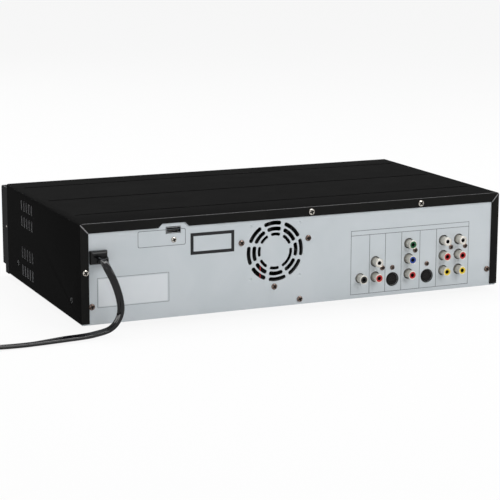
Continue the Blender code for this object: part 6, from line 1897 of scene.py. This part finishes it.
class Jacks(Assembly):
    """The phono jacks, S-video jacks and the HDMI connector."""

    LOW = 25.6
    PITCH = 15.1
    COLUMNS = (
        JackColumn("coax_jack", -64.4, ("black",)),
        JackColumn("audio_out_jacks", -81.0, ("red", "white")),
        JackColumn("component_jacks", -117.4, ("red", "blue", "green")),
        JackColumn("av_out_jacks", -156.1, ("yellow", "red", "white")),
        JackColumn("av_in_jacks", -173.2, ("yellow", "red", "white")),
    )
    SVIDEO = (("svideo_out_jack", -99.8), ("svideo_in_jack", -138.0))
    SVIDEO_Z = 21.6
    HDMI = (127.7, 87.7)

    def shell(self) -> Object:
        """One silver barrel at X 0 and Z 0, with its collar and rolled mouth."""
        profile = (
            (118.0, 4.1),
            (131.0, 4.1),
            (131.4, 4.2),
            (131.95, 4.2),
            (132.45, 3.98),
            (132.6, 3.72),
            (132.5, 3.5),
            (131.6, 3.45),
            (129.0, 3.45),
        )
        return Bench.smooth(Bench.turned("phono_shell", (0, 0, 0), profile, 32), 40)

    def insert(self) -> Object:
        """One coloured insert at X 0 and Z 0, with its hole."""
        profile = (
            (128.8, 3.44),
            (131.9, 3.44),
            (132.2, 3.2),
            (132.3, 2.9),
            (132.3, 2.2),
            (132.05, 1.97),
            (125.6, 1.95),
        )
        return Bench.smooth(Bench.turned("phono_insert", (0, 0, 0), profile, 28), 40)

    def hole_shade(self) -> Object:
        """One dark cup in an insert's hole at X 0 and Z 0, painted shade where the hole is shadowed."""
        profile = ((129.1, 1.91), (131.6, 1.91), (131.75, 1.83), (131.6, 1.75), (129.4, 1.65))
        return Bench.smooth(Bench.turned("phono_hole_shade", (0, 0, 0), profile, 28), 40)

    def make(self) -> None:
        """Makes every jack."""
        shell, insert, hole_shade = self.shell(), self.insert(), self.hole_shade()
        for column in self.COLUMNS:
            self.column(column, shell, insert, hole_shade)
        for master in (shell, insert, hole_shade):
            bpy.data.objects.remove(master)
        for name, x in self.SVIDEO:
            self.mini_din(name, x)
        self.hdmi()

    def column(self, column: JackColumn, shell: Object, insert: Object, hole_shade: Object) -> None:
        """One column: its body inside, its barrels and its inserts.

        Args:
            column: The column.
            shell: The barrel to copy.
            insert: The insert to copy.
            hole_shade: The dark cup of painted shade to copy.
        """
        low, high = (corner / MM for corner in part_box(column.node))
        half = (high.x - low.x) / 2
        body = Bench.block(
            column.node + "_body", (column.x - half, low.y, low.z), (column.x + half, 122.3, high.z)
        )
        Bench.choose(body, lambda place, way: way.y < -0.9)
        bpy.ops.mesh.inset(thickness=1.2 * MM, depth=0)
        bpy.ops.mesh.extrude_region_move(TRANSFORM_OT_translate={"value": (0, 1.5 * MM, 0)})
        bpy.ops.object.mode_set(mode="OBJECT")
        Bench.soften(body, 0.3)
        shells = []
        for i, colour in enumerate(column.colours):
            shift = (column.x, 0, self.LOW + i * self.PITCH)
            shells.append(Bench.copied(shell, f"{column.node}_shell_{i}", shift))
            piece = Bench.copied(insert, f"{column.node}_insert_{i}", shift)
            self.keep(piece, "case", INSERTS[colour])
            # A dark cup in each hole: painted shade.
            dark = Bench.copied(hole_shade, f"{column.node}_bore_{i}", shift)
            self.keep(dark, "case", JACK)
        self.keep(Bench.joined(column.node + "_shells", shells), "case", NICKEL, nodes=(column.node,))
        self.keep(body, "case", JACK)

    def mini_din(self, node: str, x: float) -> None:
        """A dark round S-video socket with a thin metal rim, four pin holes and a key.

        Args:
            node: The CAD node that it stands for.
            x: Its place across the panel.
        """
        z = self.SVIDEO_Z
        low, high = (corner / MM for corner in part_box(node))
        block = Bench.soften(Bench.block(node + "_block", (x - 7, low.y, low.z), (x + 7, 122.3, high.z)), 0.3)
        profile = ((121.8, 6.4), (124.1, 6.4), (124.4, 6.1), (124.4, 5.75), (118.6, 5.7))
        ring = Bench.smooth(Bench.turned(node + "_ring", (x, 0, z), profile, 40), 40)
        core = Bench.turned(node + "_core", (x, 0, z), ((118.5, 4.4), (122.6, 4.4), (122.9, 4.1)), 32)
        pins = []
        for u, v in ((-2.1, -1.2), (2.1, -1.2), (-1.4, 1.7), (1.4, 1.7)):
            pins.append(Bench.turned("pin", (x + u, 0, z + v), ((121, 0.55), (124, 0.55)), 10))
        pins.append(Bench.block("key", (x - 1.3, 121, z - 3.6), (x + 1.3, 124, z - 2.4)))
        Bench.cut(core, pins)
        Bench.soften(core, 0.08, 1)
        profile = ((119, 5.68), (123.6, 5.68), (123.7, 5.6), (123.6, 5.5), (119.2, 5.5))
        rim = Bench.turned(node + "_rim", (x, 0, z), profile, 40)
        self.keep(Bench.joined(node + "_socket", [block, ring, core]), "case", JACK, nodes=(node,))
        self.keep(Bench.smooth(rim, 40), "case", STEEL)

    def hdmi(self) -> None:
        """The HDMI shell with folded lips, its dark inside and its tongue with contacts."""
        x, z = self.HDMI
        low, high = (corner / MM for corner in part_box("hdmi_connector"))
        shell = Bench.block("hdmi_shell", (x - 7, low.y, z - 2.75), (x + 7, high.y, z + 2.75))
        Bench.round_edges(
            shell, lambda a, b: abs((b - a).normalized().y) > 0.9 and min(a.z, b.z) < z, 1.3, 2
        )
        Bench.choose(shell, lambda place, way: way.y > 0.9)
        bpy.ops.mesh.inset(thickness=0.35 * MM, depth=0)
        bpy.ops.mesh.extrude_region_move(TRANSFORM_OT_translate={"value": (0, -8 * MM, 0)})
        bpy.ops.object.mode_set(mode="OBJECT")
        Bench.soften(shell, 0.1)
        self.keep(shell, "case", STEEL, nodes=("hdmi_connector",))
        lining = Bench.block("hdmi_lining", (x - 6.1, 116.2, z - 2.1), (x + 6.1, 117.0, z + 2.1))
        tongue = Bench.block("hdmi_tongue", (x - 4.9, 116.8, z - 0.1), (x + 4.9, 123.4, z + 1.3))
        dark = Bench.joined("hdmi_inside", [Bench.soften(lining, 0.1, 1), Bench.soften(tongue, 0.2)])
        self.keep(dark, "case", JACK)
        contacts = [
            Bench.block(f"contact_{i}", (x + u - 0.22, 117, z - 0.2), (x + u + 0.22, 122.9, z - 0.06))
            for i, u in enumerate(0.97 * k - 4.35 for k in range(10))
        ]
        self.keep(Bench.joined("hdmi_contacts", contacts), "case", BRASS)


class Fan(Assembly):
    """The cooling fan behind the grille."""

    def make(self) -> None:
        """Refines the frame, makes the rotor and the red lead."""
        self.refine("fan_frame", "case", FAN, width=0.3)
        rotor = Bench.refined("fan_rotor", "rotor_form")
        Bench.soften(rotor, 0.2)
        self.keep(rotor, "fan_rotor", FAN, nodes=("fan_rotor",))
        points = ((39.6, 121.8, 49), (40.2, 121.9, 43), (40.3, 121.9, 37), (40.4, 121.9, 31))
        lead = Bench.wire("fan_lead", points, 0.5)
        self.keep(lead, "case", INSERTS["red"])


# Front


class Icon(Enum):
    """Shape on a button."""

    POWER = "power"
    EJECT = "eject"
    STOP = "stop"
    PLAY = "play"


@dataclass
class KeyPlace:
    """One button.

    Attributes:
        node: Its CAD node, which is its body too.
        icon: The shape on it.
    """

    node: str
    icon: Icon


class FrontPanel(Assembly):
    """The moulded front with its window, doors, display and buttons."""

    FACE = -132.6
    HINGE = (-116.1, 55.1)
    EDGE = 217.5
    KEYS = (
        KeyPlace("power_button", Icon.POWER),
        KeyPlace("eject_button", Icon.EJECT),
        KeyPlace("stop_button", Icon.STOP),
        KeyPlace("play_button", Icon.PLAY),
        KeyPlace("tray_button", Icon.EJECT),
    )

    def make(self) -> None:
        """Makes the front and what it carries."""
        front = Bench.refined("front_panel", "front_panel_form")
        wells = []
        for reach in ((217.1, 218), (-218, -217.1)):
            wells.append(Bench.turned("pin_well", (0, *self.HINGE), [(x, 1.2) for x in reach], 16, Axis.X))
        Bench.cut(front, wells)
        self.paints.dress(front, FRONT, FRONT_EDGE_HIGHLIGHT)
        # Its broken edges take slot 1, the lighter painted highlight.
        Bench.soften(front, 0.4, edge=1)
        self.keep(front, "case", FRONT, nodes=("front_panel",), painted=True)
        rim = Bench.block("front_rim", (-214, -117, 91), (214, -113, 98.5))
        self.keep(Bench.soften(rim, 0.3), "case", FRONT)
        # The doors' broken edges take the same painted highlight.
        self.refine("cassette_door", "door", FRONT, FRONT_EDGE_HIGHLIGHT, 0.3)
        self.refine("tray_front", "tray", FRONT, FRONT_EDGE_HIGHLIGHT, 0.3)
        self.refine("display_window", "case", SMOKE, width=0.3)
        self.refine("display_board", "case", BOARD, width=0.15, steps=1)
        for key in self.KEYS:
            self.key(key)
        for side in (-1, 1):
            x = side * self.EDGE
            profile = ((x - side * 0.6, 0.9), (x - side * 0.1, 0.9), (x, 0.6))
            pin = Bench.turned(f"side_pin_{side}", (0, *self.HINGE), profile, 16, Axis.X)
            self.keep(Bench.smooth(pin, 50), "case", SCREW)

    def key(self, key: KeyPlace) -> None:
        """A button whose face is set back a little behind its raised shape.

        Args:
            key: The button.
        """
        cap = Bench.refined(key.node, key.node + "_cap")
        Bench.choose(cap, lambda place, way: way.y < -0.9 and place.y < self.FACE + 0.05)
        bpy.ops.transform.translate(value=(0, 0.2 * MM, 0))
        bpy.ops.object.mode_set(mode="OBJECT")
        Bench.soften(cap, 0.45, 3)
        self.keep(cap, key.node, BUTTON, nodes=(key.node,))
        low, high = (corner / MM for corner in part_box(key.node))
        shape = self.shape(key.icon, (low.x + high.x) / 2, (low.z + high.z) / 2)
        shape.name = key.node + "_shape"
        self.keep(shape, key.node, PRINT_LIGHT)

    def bar(self, low: Point, high: Point) -> Object:
        """A thin raised bar.

        Args:
            low: Its lowest corner in X and Z.
            high: Its highest corner.

        Returns:
            The bar.
        """
        return Bench.block("bar", (low[0], self.FACE, low[1]), (high[0], self.FACE + 0.3, high[1]))

    def wedge(self, x: float, z: float, size: float, upright: bool) -> Object:
        """A thin raised triangle.

        Args:
            x: Its middle along X.
            z: Its middle along Z.
            size: From its middle to a corner.
            upright: True if it points up, and False if it points to the right from the front.

        Returns:
            The triangle.
        """
        Bench.clear()
        turn = (pi / 2, 0, 0) if upright else (pi / 2, pi / 2, 0)
        place = Vector((x, self.FACE + 0.15, z)) * MM
        bpy.ops.mesh.primitive_cylinder_add(
            vertices=3, radius=size * MM, depth=0.3 * MM, location=place, rotation=turn
        )
        return Bench.settle("wedge")

    def shape(self, icon: Icon, x: float, z: float) -> Object:
        """The shape for a button.

        Args:
            icon: Which shape.
            x: Its middle along X in mm.
            z: Its middle along Z in mm.

        Returns:
            The shape.
        """
        if icon is Icon.STOP:
            return self.bar((x - 1.2, z - 1.2), (x + 1.2, z + 1.2))
        if icon is Icon.PLAY:
            return self.wedge(x, z, 1.6, False)
        if icon is Icon.EJECT:
            top = self.wedge(x, z + 0.3, 1.5, True)
            return Bench.joined("eject", [top, self.bar((x - 1.3, z - 1.5), (x + 1.3, z - 0.9))])
        turns = [radians(35 + 290 * i / 20) for i in range(21)]
        knots = [(x + 1.9 * sin(turn), self.FACE + 0.2, z + 1.9 * cos(turn)) for turn in turns]
        ring = Bench.wire("ring", knots, 0.2, 6)
        return Bench.joined("power", [ring, self.bar((x - 0.22, z + 0.3), (x + 0.22, z + 2.3))])


# Chassis and boards


@dataclass
class Part:
    """A row of one component on a board.

    Attributes:
        name: The row's name.
        place: Middle of the first one in X and Y.
        size: Its size along X, Y and Z.
        finish: Its finish.
        count: How many stand in the row.
        step: Step from one to the next in X and Y.
        round: True if it is round.
    """

    name: str
    place: tuple[float, float]
    size: tuple[float, float, float]
    finish: Finish
    count: int = 1
    step: tuple[float, float] = (0.0, 0.0)
    round: bool = False


class Chassis(Assembly):
    """The base, the feet and the boards with their components."""

    TOP = 15.6
    PARTS = (
        Part("control_chip", (-30, 20), (22, 22, 1.8), JACK),
        Part("video_chip", (-30, 62), (14, 20, 1.8), JACK),
        Part("memory_chip", (0, 60), (10, 18, 1.4), JACK, 2, (14, 0)),
        Part("small_chips", (-6, 30), (6, 8, 1.4), JACK, 3, (11, 0)),
        Part("coils", (-12, 92), (6, 6, 3.6), SLEEVE, 4, (10, 0)),
        Part("filters", (-186, 84), (5, 5, 7), SLEEVE, 12, (11, 0), True),
        Part("resistors", (-186, 98), (3.2, 1.6, 0.7), JACK, 16, (9, 0)),
        Part("power_filters", (80, 62), (6, 6, 9), SLEEVE, 6, (12, 0), True),
        Part("rectifier", (160, 84), (12, 4, 9), JACK),
        Part("power_choke", (84, 84), (9, 9, 8), BRASS, 1, (0, 0), True),
    )

    def make(self) -> None:
        """Makes the base, feet, boards and components."""
        self.refine("chassis_base", "case", ZINC, width=0.2)
        for name in ("front_left", "front_right", "rear_left", "rear_right"):
            self.refine("foot_" + name, "case", RUBBER, width=0.5, steps=3)
        for name in ("main_board", "power_board", "hdmi_board"):
            self.refine(name, "case", BOARD, width=0.12, steps=1)
        self.refine("power_transformer", "case", TAPE, width=0.4)
        self.refine("main_capacitor", "case", SLEEVE, width=0.5, steps=3)
        self.refine("heat_sink", "case", ALUMINIUM, width=0.2)
        for part in self.PARTS:
            self.component(part)

    def component(self, part: Part) -> None:
        """A row of one component, its first modelled and the rest copied.

        Args:
            part: The component.
        """
        (x, y), (wide, deep, high) = part.place, part.size
        if part.round:
            profile = (
                (self.TOP - 0.1, wide / 2),
                (self.TOP + high - 0.4, wide / 2),
                (self.TOP + high, wide / 2 - 0.4),
                (self.TOP + high - 0.2, wide / 2 - 0.9),
            )
            first = Bench.smooth(Bench.turned(part.name + "_0", (x, y, 0), profile, 18, Axis.Z), 40)
        else:
            low = (x - wide / 2, y - deep / 2, self.TOP - 0.1)
            first = Bench.block(part.name + "_0", low, (x + wide / 2, y + deep / 2, self.TOP + high))
            Bench.soften(first, min(0.3, high / 4), 1)
        row = [first]
        for i in range(1, part.count):
            row.append(Bench.copied(first, f"{part.name}_{i}", (part.step[0] * i, part.step[1] * i, 0)))
        self.keep(Bench.joined(part.name, row), "case", part.finish)


# Disc drive and tape deck


@dataclass
class Kept:
    """A CAD node that is stood in for by a copy with broken edges.

    Attributes:
        node: The node.
        body: The body that it rides on.
        finish: Its finish.
        width: Width of the broken edges.
        steps: Facets of the edges.
    """

    node: str
    body: str
    finish: Finish
    width: float = 0.2
    steps: int = 2


class DiscDrive(Assembly):
    """The disc drive: tray, its drive, the traverse, the pickup and the clamp."""

    KEPT = (
        Kept("drive_frame", "case", DRIVE, 0.3),
        Kept("disc_tray", "tray", TRAY, 0.3),
        Kept("tray_gear", "tray_gear", GEAR, 0.15, 1),
        Kept("loading_motor", "case", STEEL, 0.3),
        Kept("motor_pulley", "motor_pulley", GEAR, 0.15),
        Kept("drive_belt", "case", BELT, 0.15, 1),
        Kept("traverse_base", "traverse", DRIVE),
        Kept("spindle_motor", "traverse", STEEL),
        Kept("optical_pickup", "pickup", JACK),
        Kept("lead_screw", "lead_screw", STEEL, 0.1, 1),
        Kept("turntable", "turntable", GEAR),
        Kept("clamp_bridge", "case", ZINC),
        Kept("clamp_puck", "clamp_puck", DRIVE),
    )

    def make(self) -> None:
        """Makes the drive."""
        for part in self.KEPT:
            self.refine(part.node, part.body, part.finish, width=part.width, steps=part.steps)
        low, high = (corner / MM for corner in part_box("optical_pickup"))
        place = ((low.x + high.x) / 2, (low.y + high.y) / 2, 0)
        lens = Bench.turned(
            "pickup_lens", place, ((high.z - 0.6, 1.9), (high.z - 0.2, 1.7), (high.z - 0.05, 0.9)), 24, Axis.Z
        )
        self.keep(Bench.smooth(lens, 50), "pickup", SMOKE)


class TapeDeck(Assembly):
    """The tape deck: chassis, drum, reels, capstan, pinch roller, carrier and slider."""

    KEPT = (
        Kept("deck_chassis", "case", ZINC),
        Kept("carrier_slider", "slider", DRIVE),
        Kept("cassette_carrier", "carrier", DRIVE),
        Kept("lower_drum", "case", ALUMINIUM),
        Kept("upper_drum", "upper_drum", ALUMINIUM),
        Kept("capstan", "capstan", STEEL, 0.12),
        Kept("pinch_arm", "pinch_arm", ZINC),
        Kept("pinch_roller", "pinch_roller", BELT),
        Kept("supply_reel", "supply_reel", GEAR),
        Kept("takeup_reel", "takeup_reel", GEAR),
    )

    def make(self) -> None:
        """Makes the deck."""
        for part in self.KEPT:
            self.refine(part.node, part.body, part.finish, width=part.width, steps=part.steps)


def main() -> None:
    """Builds the studio and the player."""
    logging.basicConfig(level=logging.INFO, format="%(message)s")
    Studio().shoot()
    paints = Paintbox()
    parts = (MainsCord, Cover, RearPanel, Jacks, Screws, Fan, FrontPanel, Chassis, DiscDrive, TapeDeck)
    for part in parts:
        LOG.info("%s", part.__name__)
        part(paints).make()


if __name__ == "__main__":
    main()
